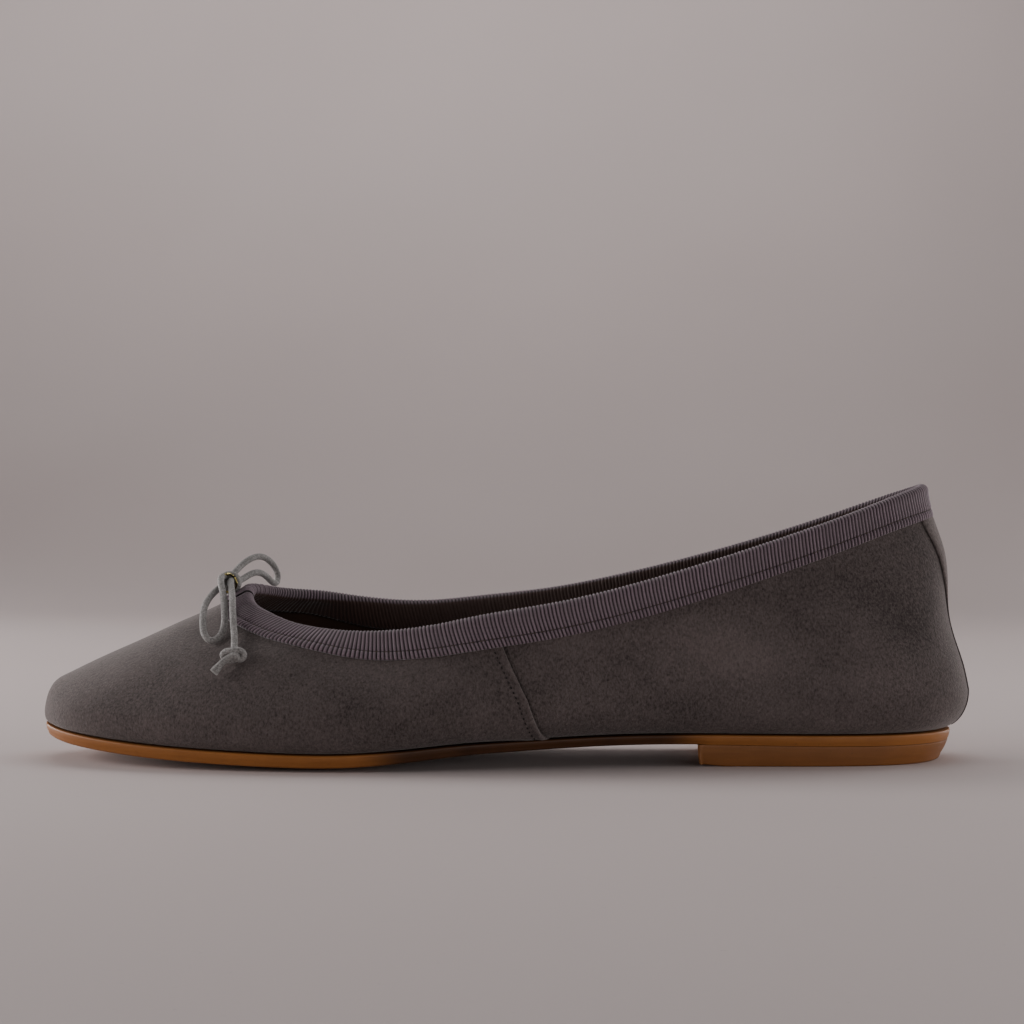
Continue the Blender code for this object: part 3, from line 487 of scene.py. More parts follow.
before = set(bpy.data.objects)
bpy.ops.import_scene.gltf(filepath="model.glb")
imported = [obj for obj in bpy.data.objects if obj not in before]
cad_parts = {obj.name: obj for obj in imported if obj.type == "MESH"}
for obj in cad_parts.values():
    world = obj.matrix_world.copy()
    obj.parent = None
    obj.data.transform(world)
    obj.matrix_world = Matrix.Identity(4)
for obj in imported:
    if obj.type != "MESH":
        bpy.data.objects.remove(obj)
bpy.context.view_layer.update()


def spline(knots, values, period=None):
    """A smooth curve through the values at the knots, as a function of the knot's measure."""
    knots = np.asarray(knots, float)
    values = np.asarray(values, float).reshape(len(knots), -1)
    if period:
        knots = np.concatenate([knots - period, knots, knots + period])
        values = np.tile(values, (3, 1))
    count = len(knots)
    step = np.diff(knots)[:, None]
    slope = np.diff(values, axis=0) / step
    matrix = np.eye(count)
    right = np.zeros_like(values)
    for i in range(1, count - 1):
        matrix[i, i - 1 : i + 2] = step[i - 1, 0], 2 * (step[i - 1, 0] + step[i, 0]), step[i, 0]
        right[i] = 6 * (slope[i] - slope[i - 1])
    bend = np.linalg.solve(matrix, right)

    def at(measure):
        x = np.atleast_1d(np.asarray(measure, float))
        if period:
            x = x % period
        i = np.clip(np.searchsorted(knots, x) - 1, 0, count - 2)
        h = step[i]
        a = (knots[i + 1] - x)[:, None]
        b = (x - knots[i])[:, None]
        straight = (values[i] * a + values[i + 1] * b) / h
        curved = (bend[i] * (a**3 / h - h * a) + bend[i + 1] * (b**3 / h - h * b)) / 6
        return straight + curved

    return at


def column_of(table, index):
    """One column of a table as a smooth function of its first column."""
    curve = spline([row[0] for row in table], [row[index] for row in table])
    return lambda share: curve(share)[:, 0]


def ease(share):
    share = np.clip(share, 0.0, 1.0)
    return share * share * (3 - 2 * share)


def bell(distance, reach):
    return np.exp(-((distance / reach) ** 2))


def steps_of(points):
    """Distance from each point to the next."""
    return np.linalg.norm(np.diff(points, axis=0), axis=1)


def reach_of(points):
    """Distance of each point from the first one, measured along them."""
    return np.concatenate([[0], np.cumsum(steps_of(points))])


def points_at(wanted, reach, points):
    """Points at wanted distances, where the given ones lie at the distances in reach."""
    return np.stack([np.interp(wanted, reach, points[:, k]) for k in range(3)], axis=1)


def station_points():
    """The outline's own points in order: tip, lateral side, back, medial side."""
    tip = (SOLE_TIP_X, TOE_TIP_SHIFT)
    back = (SOLE_TIP_X + SOLE_LENGTH, 0.0)
    lateral = [(SOLE_TIP_X + a * SOLE_LENGTH, -out * BALL_WIDTH) for a, out, _ in OUTLINE]
    medial = [(SOLE_TIP_X + a * SOLE_LENGTH, out * BALL_WIDTH) for a, _, out in OUTLINE]
    return np.array([tip, *lateral, back, *reversed(medial)])


def rim_points():
    """The upper's rim, a point for each point of the outline."""

    def point(share, out, up):
        rise = BACK_HEIGHT - RIDGE_HEIGHT
        return THROAT_X + share * OPENING_LENGTH, out * OPENING_WIDTH, RIDGE_HEIGHT + up * rise

    throat = (THROAT_X, TOE_TIP_SHIFT, RIDGE_HEIGHT)
    back = (THROAT_X + OPENING_LENGTH, 0.0, BACK_HEIGHT)
    lateral = [point(share, -out, up) for share, out, up, _, _, _ in RIM]
    medial = [point(share, out, up) for _, _, _, share, out, up in RIM]
    return np.array([throat, *lateral, back, *reversed(medial)])


STATIONS = station_points()
CHORDS = np.linalg.norm(STATIONS - np.roll(STATIONS, 1, axis=0), axis=1)
TURNS = (np.cumsum(CHORDS) - CHORDS[0]) / CHORDS.sum()  # each station's share of the way round
TURN_LENGTH = CHORDS.sum()
BACK_TURN = float(TURNS[len(OUTLINE) + 1])
outline = spline(TURNS, STATIONS, period=1.0)
rim_line = spline(TURNS, rim_points(), period=1.0)

side_top = column_of(SIDE, 1)
side_thickness = column_of(SIDE, 2)
side_crown = column_of(SIDE, 3)
bulge_lateral = column_of(BULGE, 1)
bulge_medial = column_of(BULGE, 2)
bulge_rise = column_of(BULGE, 3)
lean_back = column_of(LEAN, 1)
lean_side = column_of(LEAN, 2)
ridge_curve = spline([math.sqrt(a) for a, _ in RIDGE], [h for _, h in RIDGE])


def along(x):
    return np.clip((x - SOLE_TIP_X) / SOLE_LENGTH, 0.0, 1.0)


def sole_top(x):
    return side_top(along(x)) * SEAT_HEIGHT


def outward(turn):
    """Unit normals of the outline, pointing out of the shoe."""
    small = 1e-4
    run = outline(turn + small) - outline(turn - small)
    normal = np.stack([run[:, 1], -run[:, 0]], axis=1)
    return normal / np.linalg.norm(normal, axis=1, keepdims=True)


def turn_at(x, medial):
    """The share of the way round at which the outline of one side passes x."""
    turns = np.linspace(0.02, 0.98, 4000)
    xy = outline(turns)
    side = (xy[:, 1] > 0) == medial
    turns, xy = turns[side], xy[side]
    return float(turns[np.abs(xy[:, 0] - x).argmin()])


SEAM_LATERAL = turn_at(SEAM_FOOT_X, False)
SEAM_MEDIAL = turn_at(SEAM_FOOT_X, True)


def widest_line(turn):
    """The upper's widest line and the outline's normals there."""
    xy = outline(turn)
    normal = outward(turn)
    share = along(xy[:, 0])
    side = ease((xy[:, 1] / (BALL_WIDTH / 6) + 1) / 2)
    bulge = (1 - side) * bulge_lateral(share) + side * bulge_medial(share)
    xy = xy + normal * (bulge * HEEL_OVERHANG)[:, None]
    z = sole_top(xy[:, 0]) + GAP + bulge_rise(share) * BULGE_RISE
    return np.column_stack([xy, z]), normal


WIDE = widest_line(np.linspace(0, 1, FINE, endpoint=False))[0]


def half_widths(x):
    """Distance of the widest line from the middle on the lateral and the medial side."""
    found = []
    for medial in (False, True):
        points = WIDE[(WIDE[:, 1] > TOE_TIP_SHIFT) == medial]
        points = points[np.argsort(points[:, 0])]
        found.append(np.abs(np.interp(x, points[:, 0], points[:, 1] - TOE_TIP_SHIFT)))
    return found


def vamp_height(x, y, base):
    """Height of the vamp's surface over a point, rising from its base at the widest line."""
    reach = np.clip((x - FRONT_X) / (THROAT_X - FRONT_X), 0.0, VAMP_PAST)
    ridge = ridge_curve(np.sqrt(np.minimum(reach, 1.0)))[:, 0]
    past = np.maximum(reach - 1.0, 0.0) * VAMP_PAST_RISE
    ridge = np.maximum((ridge + past) * RIDGE_HEIGHT, base)
    lateral, medial = half_widths(x)
    across = y - TOE_TIP_SHIFT
    heights = []
    for half, (power, root) in ((lateral, LATERAL_FALL), (medial, MEDIAL_FALL)):
        share = np.clip(np.abs(across) / np.maximum(half, 1e-6), 0.0, 1.0)
        heights.append((1 - share**power) ** (1 / root))
    share = np.where(across < 0, heights[0], heights[1])
    return base + (ridge - base) * share


def swept(turn, distance):
    """Turns moved forward round the side seams, so that the seams lean back towards the sole."""
    reach = SEAM_SWEEP_REACH / TURN_LENGTH
    lateral = bell(turn - SEAM_LATERAL, reach)
    medial = bell(turn - SEAM_MEDIAL, reach)
    return turn + (medial - lateral) * distance / TURN_LENGTH


def rim(turn):
    """The upper's rim at a share of the way round."""
    return rim_line(swept(turn, SEAM_TOP_SWEEP))


def wall(turn, up):
    """The upper's outer face above its widest line: up runs from 0 there to 1 at the rim."""
    low, normal = widest_line(swept(turn, SEAM_SWEEP))
    top = rim(turn)
    way = top - low
    lean = (way[:, :2] * normal).sum(axis=1)
    slide = way[:, :2] - normal * lean[:, None]
    facing = np.abs(normal[:, 0]) ** 2 * (low[:, 0] > 0)
    share = facing * lean_back(up) + (1 - facing) * lean_side(up)
    quarter = low.copy()
    quarter[:, :2] += normal * (lean * share)[:, None] + slide * (1 - (1 - up) ** SLIDE_POWER)[:, None]
    quarter[:, 2] += way[:, 2] * up
    reach = 1 - np.cos(up * math.pi / 2)
    vamp = low + way * reach[:, None]
    end = vamp_height(top[:, 0], top[:, 1], low[:, 2])
    height = vamp_height(vamp[:, 0], vamp[:, 1], low[:, 2])
    vamp[:, 2] = height + (top[:, 2] - end) * reach**2
    foot_x = outline(turn)[:, 0]
    blend = ease((QUARTER_STARTS_X - foot_x) / (QUARTER_STARTS_X - VAMP_STARTS_X))[:, None]
    return (1 - blend) * quarter + blend * vamp


def below(turn, angle):
    """The upper's outer face from where it leaves the sole (0) round to its widest line (1)."""
    turn = swept(turn, SEAM_SWEEP * (1 - np.cos(angle * math.pi / 2)) ** SWEEP_POWER)
    wide, normal = widest_line(turn)
    foot = outline(turn) - normal * FEATHER_INSET
    base = sole_top(outline(turn)[:, 0]) + GAP
    power = 1 - TOE_FULLNESS * bell(wide[:, 0] - FRONT_X, TOE_FULLNESS_REACH)
    xy = foot + (wide[:, :2] - foot) * (np.sin(angle * math.pi / 2) ** power)[:, None]
    z = base + (wide[:, 2] - base) * (1 - np.cos(angle * math.pi / 2))
    return np.column_stack([xy, z])


def margin(turn, inside):
    """The turned-in edge on the sole, from its inner end (1) out to the bend (0)."""
    normal = outward(turn)
    xy = outline(turn) - normal * (FEATHER_INSET + inside * LASTING_MARGIN)[:, None]
    return np.column_stack([xy, sole_top(xy[:, 0]) + GAP])


def upper_grid(turns, lower_rows, wall_rows):
    """The upper's outer face as an array of ribs, each from the lasting margin up to the rim."""
    columns = [margin(turns, np.full_like(turns, share)) for share in MARGIN_SHARES]
    columns += [below(turns, np.full_like(turns, row / lower_rows)) for row in range(lower_rows)]
    columns += [wall(turns, np.full_like(turns, row / wall_rows)) for row in range(wall_rows + 1)]
    return np.stack(columns, axis=1)


def normals_of(grid, closed):
    """Normals that point out of the shoe, for a grid of ribs in order of their turns."""
    run = np.gradient(grid, axis=0)
    if closed:
        run = np.roll(grid, -1, axis=0) - np.roll(grid, 1, axis=0)
    normal = np.cross(run, np.gradient(grid, axis=1))
    return normal / np.maximum(np.linalg.norm(normal, axis=2, keepdims=True), 1e-12)


def ahead_of_seam(turn):
    """Distance from the nearer side seam, positive on the front panel."""
    lateral = (SEAM_LATERAL - turn) * TURN_LENGTH
    medial = (turn - SEAM_MEDIAL) * TURN_LENGTH
    return np.where(turn < BACK_TURN, lateral, medial)


def lap_height(turn):
    """Height that covers the lap of the front panel from both sides of its edge, without a step."""
    return (1 - ease(np.abs(ahead_of_seam(turn)) / SEAM_FADE)) * SEAM_STEP


def seam_relief(turn):
    """The front panel's folded edge, and the groove that its stitches pull in."""
    ahead = ahead_of_seam(turn)
    step = lap_height(turn) * ease(ahead / SEAM_EDGE_RUN)
    fold = SEAM_FOLD * bell(ahead - SEAM_FOLD_AT, SEAM_FOLD_REACH) * (ahead > 0)
    groove = SEAM_GROOVE * bell(ahead - SEAM_STITCH_AT, SEAM_GROOVE_REACH)
    tuck = SEAM_TUCK * bell(ahead, SEAM_TUCK_REACH) * (ahead <= 0)
    return step + fold - groove - tuck


def seam_painted_light(turn):
    """A painted highlight on the front panel's fold and painted shade in the line close behind it."""
    ahead = ahead_of_seam(turn)
    # painted highlight on the fold, and painted shade close behind it
    painted_shading = FOLD_HIGHLIGHT * bell(ahead - FOLD_HIGHLIGHT_AT, FOLD_HIGHLIGHT_REACH) * (ahead > 0)
    return painted_shading - FOLD_SHADE * bell(ahead + FOLD_SHADE_BEHIND, FOLD_SHADE_REACH)


def seam_turns(count):
    """Turns round the shoe, packed closely where a seam's edge needs them."""
    turns = np.linspace(0, 1, count, endpoint=False)
    near = np.array(SEAM_RIBS) * MM / TURN_LENGTH
    spare = 0.4 / count
    for seam, forward in ((SEAM_LATERAL, -1), (SEAM_MEDIAL, 1)):
        packed = seam + forward * near
        turns = turns[(turns < packed.min() - spare) | (turns > packed.max() + spare)]
        turns = np.concatenate([turns, packed])
    return np.sort(turns)


def oval_sum(points, folds, column):
    """Sum of soft ovals over points, each weighted with one column of the table of folds."""
    total = np.zeros(points.shape[:-1])
    for row in folds:
        x, z, half_length, half_width = (number * MM for number in row[:4])
        angle = math.radians(row[4])
        right = points[..., 0] - x
        up = points[..., 2] - z
        run = right * math.cos(angle) + up * math.sin(angle)
        off = up * math.cos(angle) - right * math.sin(angle)
        total += row[column] * np.exp(-((run / half_length) ** 2) - (off / half_width) ** 2)
    return total


def fold_field(points, column):
    """The suede's creases or brushed patches at points of the upper: their relief, or their nap with its
    painted light and shade.
    """
    lateral = ease((TOE_TIP_SHIFT - points[..., 1]) / SIDE_BLEND + 0.5)
    outer = oval_sum(points, LATERAL_FOLDS, column)
    inner = oval_sum(points, MEDIAL_FOLDS, column)
    return lateral * outer + (1 - lateral) * inner


def pucker(grid):
    """Small gathers where the ribbon is sewn on, deepest just under its lower edge."""
    down = np.linalg.norm(grid - grid[:, -1:], axis=2)
    reach = reach_of(grid[:, -1])
    waves = sum(np.sin(reach / length + start) * share for length, start, share in PUCKERS)
    return waves[:, None] * bell(down - BINDING_DROP - PUCKER_BELOW, PUCKER_REACH) * PUCKER_DEPTH


def resampled(rib, normal, distances):
    """Points and normals of one rib at distances down from its rim."""
    down = reach_of(rib[::-1])
    faces = points_at(distances, down, normal[::-1])
    faces /= np.linalg.norm(faces, axis=1, keepdims=True)
    return points_at(distances, down, rib[::-1]), faces


def frame_shift():
    """From these surfaces' own coordinates to the frame's, read from where the outsole lies."""
    low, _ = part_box("outsole")
    xy = outline(np.linspace(0, 1, FINE, endpoint=False))
    return Vector((low.x - xy[:, 0].min(), low.y - xy[:, 1].min(), 0.0))


SHIFT = frame_shift()


# Meshes

def add_piece(name, data, material, slot, *replaced):
    """An object of the shoe in its place, with its material and what it stands for; its slot is not
    used.
    """
    piece = bpy.data.objects.new(name, data)
    bpy.context.scene.collection.objects.link(piece)
    if data.materials:
        data.materials.clear()
    data.materials.append(material)
    data.transform(Matrix.Translation(SHIFT))
    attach(piece, "root")
    if replaced:
        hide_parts(*replaced)
    return piece


def grid_mesh(name, grid, closed_around, closed_section=False, values=None):
    """A smooth mesh over a grid of points, with named values kept on its points."""
    count, rows = grid.shape[:2]
    i = np.arange(count if closed_around else count - 1)
    j = np.arange(rows if closed_section else rows - 1)
    i, j = (a.ravel() for a in np.meshgrid(i, j, indexing="ij"))
    after, above = (i + 1) % count, (j + 1) % rows
    faces = np.stack([i * rows + j, i * rows + above, after * rows + above, after * rows + j], axis=1)
    mesh = bpy.data.meshes.new(name)
    mesh.from_pydata(grid.reshape(-1, 3).tolist(), [], faces.tolist())
    for key, numbers in (values or {}).items():
        layer = mesh.attributes.new(key, "FLOAT", "POINT")
        layer.data.foreach_set("value", np.asarray(numbers, np.float32).ravel())
    mesh.polygons.foreach_set("use_smooth", [True] * len(mesh.polygons))
    return mesh


def face_outward(mesh):
    """Turns the mesh's faces so that they all look out of its solid."""
    work = bmesh.new()
    work.from_mesh(mesh)
    bmesh.ops.recalc_face_normals(work, faces=work.faces)
    work.to_mesh(mesh)
    work.free()


def shell_mesh(name, grid, normals, thickness, values=None):
    """A closed wall round the shoe: its outer face is the grid and it grows inward."""
    section = np.concatenate([grid, (grid - normals * thickness)[:, ::-1]], axis=1)
    doubled = {}
    for key, numbers in (values or {}).items():
        doubled[key] = np.concatenate([numbers, numbers[:, ::-1]], axis=1)
    mesh = grid_mesh(name, section, True, True, doubled)
    face_outward(mesh)
    return mesh


def capsules_mesh(name, centres, directions, length, radius):
    """Short rounded threads, all in one mesh."""
    work = bmesh.new()
    for centre, direction in zip(centres, directions):
        made = bmesh.ops.create_uvsphere(work, u_segments=6, v_segments=6, radius=radius)
        turn = Vector(direction).to_track_quat("Z", "Y")
        for vertex in made["verts"]:
            point = vertex.co.copy()
            if abs(point.z) > 1e-9:
                point.z += math.copysign(max(length / 2 - radius, 0.0), point.z)
            vertex.co = turn @ point + Vector(centre)
    mesh = bpy.data.meshes.new(name)
    work.to_mesh(mesh)
    work.free()
    mesh.polygons.foreach_set("use_smooth", [True] * len(mesh.polygons))
    return mesh


def smooth_route(points, count):
    """Points at even spacing on a smooth curve through given points, and the curve's length."""
    points = np.asarray(points, float)
    chord = reach_of(points)
    dense = spline(chord, points)(np.linspace(0, chord[-1], ROUTE_STEPS))
    reach = reach_of(dense)
    return points_at(np.linspace(0, reach[-1], count), reach, dense), reach[-1]


def tube(name, points, diameter, widths=None):
    """A round cord along points, with the share of its diameter at each."""
    curve = bpy.data.curves.new(name, "CURVE")
    curve.dimensions = "3D"
    curve.bevel_depth = diameter / 2
    curve.bevel_resolution = 4
    curve.use_fill_caps = True
    line = curve.splines.new("POLY")
    line.points.add(len(points) - 1)
    for index, place in enumerate(points):
        line.points[index].co = (*place, 1.0)
        line.points[index].radius = 1.0 if widths is None else widths[index]
    line.use_smooth = True
    return curve


# Materials

class Paint:
    """One material, with short ways to add the nodes that colour it."""

    def __init__(self, name):
        self.material = bpy.data.materials.new(name)
        self.material.use_nodes = True
        self.tree = self.material.node_tree
        self.shader = self.tree.nodes["Principled BSDF"]
        self.place = self.tree.nodes.new("ShaderNodeTexCoord").outputs["Object"]

    def put(self, value, socket):
        if isinstance(value, bpy.types.NodeSocket):
            self.tree.links.new(value, socket)
        else:
            socket.default_value = value

    def set(self, **numbers):
        """Numbers of the shader that are the same all over, set on its own sockets."""
        for key, value in numbers.items():
            label = key.replace("_", " ").title().replace("Ior", "IOR")
            self.shader.inputs[label].default_value = value

    def stretched(self, scale, turn=(0.0, 0.0, 0.0)):
        """The place on the object, scaled by an amount along each axis after a turn in degrees."""
        node = self.tree.nodes.new("ShaderNodeMapping")
        self.put(self.place, node.inputs["Vector"])
        node.inputs["Rotation"].default_value = [math.radians(a) for a in turn]
        node.inputs["Scale"].default_value = scale
        return node.outputs["Vector"]

    def noise(self, size, detail=3.0, roughness=0.55, distortion=0.0, vector=None):
        """Soft noise whose blobs are about this size, in metres."""
        node = self.tree.nodes.new("ShaderNodeTexNoise")
        self.put(vector or self.place, node.inputs["Vector"])
        node.inputs["Scale"].default_value = 1.0 / size
        node.inputs["Detail"].default_value = detail
        node.inputs["Roughness"].default_value = roughness
        node.inputs["Distortion"].default_value = distortion
        return node.outputs["Fac"]

    def cells(self, size, vector=None):
        """Distance to the nearest of scattered points about this far apart."""
        node = self.tree.nodes.new("ShaderNodeTexVoronoi")
        self.put(vector or self.place, node.inputs["Vector"])
        node.inputs["Scale"].default_value = 1.0 / size
        return node.outputs["Distance"]

    def attribute(self, name):
        node = self.tree.nodes.new("ShaderNodeAttribute")
        node.attribute_name = name
        return node.outputs["Fac"]

    def math(self, operation, first, second):
        node = self.tree.nodes.new("ShaderNodeMath")
        node.operation = operation
        self.put(first, node.inputs[0])
        self.put(second, node.inputs[1])
        return node.outputs["Value"]

    def spread(self, value, low, high, to_low=0.0, to_high=1.0):
        """The value's range low to high stretched over another range."""
        node = self.tree.nodes.new("ShaderNodeMapRange")
        self.put(value, node.inputs["Value"])
        ends = {"From Min": low, "From Max": high, "To Min": to_low, "To Max": to_high}
        for key, number in ends.items():
            node.inputs[key].default_value = number
        return node.outputs["Result"]

    def vary(self, tone, source, amount, low=0.3, high=0.7):
        """The tone, moved by up to an amount down or up where the source is low or high."""
        return self.math("ADD", tone, self.spread(source, low, high, -amount, amount))

    def mix(self, share, first, second, blend="MIX"):
        node = self.tree.nodes.new("ShaderNodeMix")
        node.data_type = "RGBA"
        node.blend_type = blend
        self.put(share, node.inputs["Factor"])
        sockets = [s for s in node.inputs if s.type == "RGBA"]
        for value, socket in zip((first, second), sockets):
            self.put(value if isinstance(value, bpy.types.NodeSocket) else (*value, 1.0), socket)
        return next(s for s in node.outputs if s.type == "RGBA")

    def bump(self, height, distance, strength=1.0, below=None):
        node = self.tree.nodes.new("ShaderNodeBump")
        self.put(height, node.inputs["Height"])
        node.inputs["Distance"].default_value = distance
        node.inputs["Strength"].default_value = strength
        if below is not None:
            self.put(below, node.inputs["Normal"])
        return node.outputs["Normal"]

    def finish(self, colour, roughness=None, normal=None):
        self.put(colour, self.shader.inputs["Base Color"])
        if roughness is not None:
            self.put(roughness, self.shader.inputs["Roughness"])
        if normal is not None:
            self.put(normal, self.shader.inputs["Normal"])
        return self.material


def suede_material(name, dark, pale):
    """Napped suede: brushed patches, mottles, a fine grain of standing fibres, and the nap with its
    painted light and shade kept on the mesh.
    """
    paint = Paint(name)
    slanted = paint.stretched((1.0, 1.0, 1.6), (0.0, 35.0, 0.0))
    patches = paint.noise(0.026, 2.0, 0.5, 0.6, slanted)
    mottles = paint.noise(0.0060, 3.0, 0.6, 0.4, slanted)
    grain = paint.noise(0.00080, 3.0, 0.65)
    standing = paint.stretched((1.0, 1.0, 0.5), (0.0, 40.0, 0.0))
    fibres = paint.noise(0.00040, 2.0, 0.7, 0.0, standing)
    tone = paint.vary(0.5, patches, 0.10, 0.32, 0.68)
    tone = paint.vary(tone, mottles, 0.06)
    tone = paint.vary(tone, grain, 0.22)
    tone = paint.vary(tone, fibres, 0.26)
    # adds the nap and the painted light and shade kept on the mesh: creases, seam folds and the strip's
    # edges
    tone = paint.math("ADD", tone, paint.math("MULTIPLY", paint.attribute("nap_and_painted_shading"), 0.16))
    colour = paint.mix(paint.spread(tone, 0.0, 1.0), dark, pale)
    height = paint.math("ADD", paint.math("MULTIPLY", grain, 0.7), paint.math("MULTIPLY", fibres, 0.5))
    normal = paint.bump(height, 0.00032, 0.85)
    paint.set(roughness=0.95, specular_ior_level=0.22, sheen_weight=0.30, sheen_roughness=0.45)
    paint.shader.inputs["Sheen Tint"].default_value = (0.80, 0.74, 0.72, 1.0)
    return paint.finish(colour, paint.spread(mottles, 0.3, 0.7, 0.88, 1.0), normal)


def ribbon_material():
    """Grosgrain: dull ribs with a little gloss on their crests, painted shade in the grooves between
    them and on its face inside the shoe.
    """
    paint = Paint("grosgrain_ribbon")
    rib = paint.attribute("rib")
    weave = paint.noise(0.00030, 2.0, 0.7)
    cloud = paint.noise(0.0060, 2.0, 0.5)
    # painted shade: pale on the ribs' crests, nearly black in the grooves between them
    colour = paint.mix(paint.spread(rib, 0.28, 0.95), (0.011, 0.005, 0.006), (0.225, 0.160, 0.192))
    colour = paint.mix(paint.spread(weave, 0.35, 0.65, 0.0, 0.45), colour, (0.060, 0.045, 0.054))
    colour = paint.mix(paint.spread(cloud, 0.35, 0.65, 0.0, 0.25), colour, (0.100, 0.080, 0.085))
    # painted shade: the ribbon's face inside the shoe is painted dark brown
    colour = paint.mix(paint.attribute("inside"), colour, (0.050, 0.026, 0.021))
    normal = paint.bump(weave, 0.00010, 0.7)
    paint.set(specular_ior_level=0.35, sheen_weight=0.25, sheen_roughness=0.4)
    return paint.finish(colour, paint.spread(rib, 0.0, 1.0, 0.85, 0.60), normal)


def sole_material(name, pale, dark):
    """Waxed tan leather: long fibres along the edge, darker scuffs, a slight sheen and painted shade on
    the waist's edge.
    """
    paint = Paint(name)
    fibre = paint.noise(0.0011, 3.0, 0.6, 0.0, paint.stretched((0.10, 0.10, 1.4)))
    blotch = paint.noise(0.014, 3.0, 0.6, 0.5)
    speck = paint.noise(0.0009, 2.0, 0.6)
    colour = paint.mix(paint.spread(fibre, 0.30, 0.70, 0.0, 0.45), pale, dark)
    colour = paint.mix(paint.spread(blotch, 0.42, 0.70, 0.0, 0.35), colour, dark)
    colour = paint.mix(paint.spread(speck, 0.62, 0.78, 0.0, 0.3), colour, (0.05, 0.020, 0.008))
    patchy = paint.spread(blotch, 0.2, 0.7, 1.0, 0.84)
    # painted shade on the edge of the sole's waist, a little patchy
    painted_shading = paint.math("MULTIPLY", paint.attribute("painted_shade"), patchy)
    colour = paint.mix(painted_shading, colour, (0.026, 0.009, 0.003))
    normal = paint.bump(fibre, 0.00006, 0.35, paint.bump(speck, 0.00004, 0.3))
    paint.set(specular_ior_level=0.28, coat_weight=0.04, coat_roughness=0.40)
    return paint.finish(colour, paint.spread(blotch, 0.3, 0.7, 0.42, 0.58), normal)


def leather_material(name, pale, dark, roughness):
    """Smooth lining leather with fine pores and soft shading."""
    paint = Paint(name)
    pores = paint.cells(0.0009)
    crease = paint.noise(0.0030, 4.0, 0.6, 0.3)
    blotch = paint.noise(0.018, 3.0, 0.5)
    colour = paint.mix(paint.spread(blotch, 0.3, 0.7), pale, dark)
    colour = paint.mix(paint.spread(pores, 0.0, 0.25, 0.5, 0.0), colour, dark)
    height = paint.math("ADD", paint.spread(pores, 0.0, 0.5), paint.math("MULTIPLY", crease, 0.8))
    normal = paint.bump(height, 0.00012, 0.6)
    paint.set(specular_ior_level=0.30)
    return paint.finish(colour, paint.spread(crease, 0.3, 0.7, *roughness), normal)


def cord_material():
    """Waxed round cord: a close fibre lay with rubbed pale places."""
    paint = Paint("waxed_cord")
    lay = paint.noise(0.00042, 3.0, 0.65)
    rub = paint.noise(0.0030, 2.0, 0.5)
    colour = paint.mix(paint.spread(lay, 0.32, 0.68), (0.105, 0.100, 0.096), (0.350, 0.335, 0.325))
    colour = paint.mix(paint.spread(rub, 0.40, 0.70, 0.0, 0.5), colour, (0.140, 0.134, 0.128))
    paint.set(specular_ior_level=0.35, sheen_weight=0.15, sheen_roughness=0.4)
    return paint.finish(colour, paint.spread(lay, 0.3, 0.7, 0.82, 0.62), paint.bump(lay, 0.00016, 0.8))


def thread_material(name, pale, dark):
    """Sewing thread, with the light and dark of its twist."""
    paint = Paint(name)
    twist = paint.noise(0.00025, 2.0, 0.5)
    paint.set(specular_ior_level=0.3)
    return paint.finish(paint.mix(twist, dark, pale), paint.spread(twist, 0.3, 0.7, 0.65, 0.85))


def brass_material():
    """Aged brass, dark in most places and bright where it is rubbed."""
    paint = Paint("aged_brass")
    wear = paint.noise(0.0010, 3.0, 0.6)
    colour = paint.mix(paint.spread(wear, 0.52, 0.62), (0.030, 0.022, 0.012), (0.72, 0.60, 0.22))
    paint.set(metallic=1.0)
    return paint.finish(colour, paint.spread(wear, 0.4, 0.6, 0.55, 0.22), paint.bump(wear, 0.00008, 0.5))


# Pieces of the shoe

def make_upper(suede, lining):
    """The suede panels with their lap, creases, brushed nap and painted light and shade, and the lining
    inside them.
    """
    turns = seam_turns(UPPER_AROUND)
    grid = upper_grid(turns, UPPER_LOWER_ROWS, UPPER_WALL_ROWS)
    normals = normals_of(grid, closed=True)
    height = np.arange(grid.shape[1]) - len(MARGIN_SHARES)
    folds = fold_field(grid, RELIEF_COLUMN) * MM * ease(height / FOLD_RISE_ROWS)[None, :]
    seams = seam_relief(turns)[:, None] * ease(height / SEAM_RISE_ROWS)[None, :]
    relief = seams + folds + pucker(grid)
    under_ribbon = np.linalg.norm(grid - grid[:, -1:], axis=2) < BINDING_DROP - RIBBON_FLAT
    flat = lap_height(turns)[:, None] + 2 * RIBBON_CLEAR
    relief = np.where(under_ribbon, np.minimum(relief, flat), relief)
    face = grid + normals * relief[:, :, None]
    # brushed nap with painted light and shade on the creases, and the seams' painted highlight and shade
    nap_and_painted_shading = fold_field(grid, NAP_AND_SHADING_COLUMN) + seam_painted_light(turns)[:, None]
    mesh = shell_mesh("suede_upper", face, normals, SUEDE_WALL, {"nap_and_painted_shading": nap_and_painted_shading})
    add_piece("suede_upper", mesh, suede, "suede", "upper")

    turns = np.linspace(0, 1, LINING_AROUND, endpoint=False)
    grid = upper_grid(turns, LINING_LOWER_ROWS, LINING_WALL_ROWS)
    normals = normals_of(grid, closed=True)
    inner = grid - normals * (UPPER_WALL - LINING_WALL)
    mesh = shell_mesh("lining", inner, normals, LINING_WALL)
    add_piece("lining", mesh, lining, "lining", "upper")


def rim_reach():
    """The rim's length, and the turn at a distance round it from the throat."""
    dense = np.linspace(0, 1, RIM_STEPS)
    reach = reach_of(rim(dense))
    return reach[-1], lambda wanted: np.interp(wanted, reach, dense)


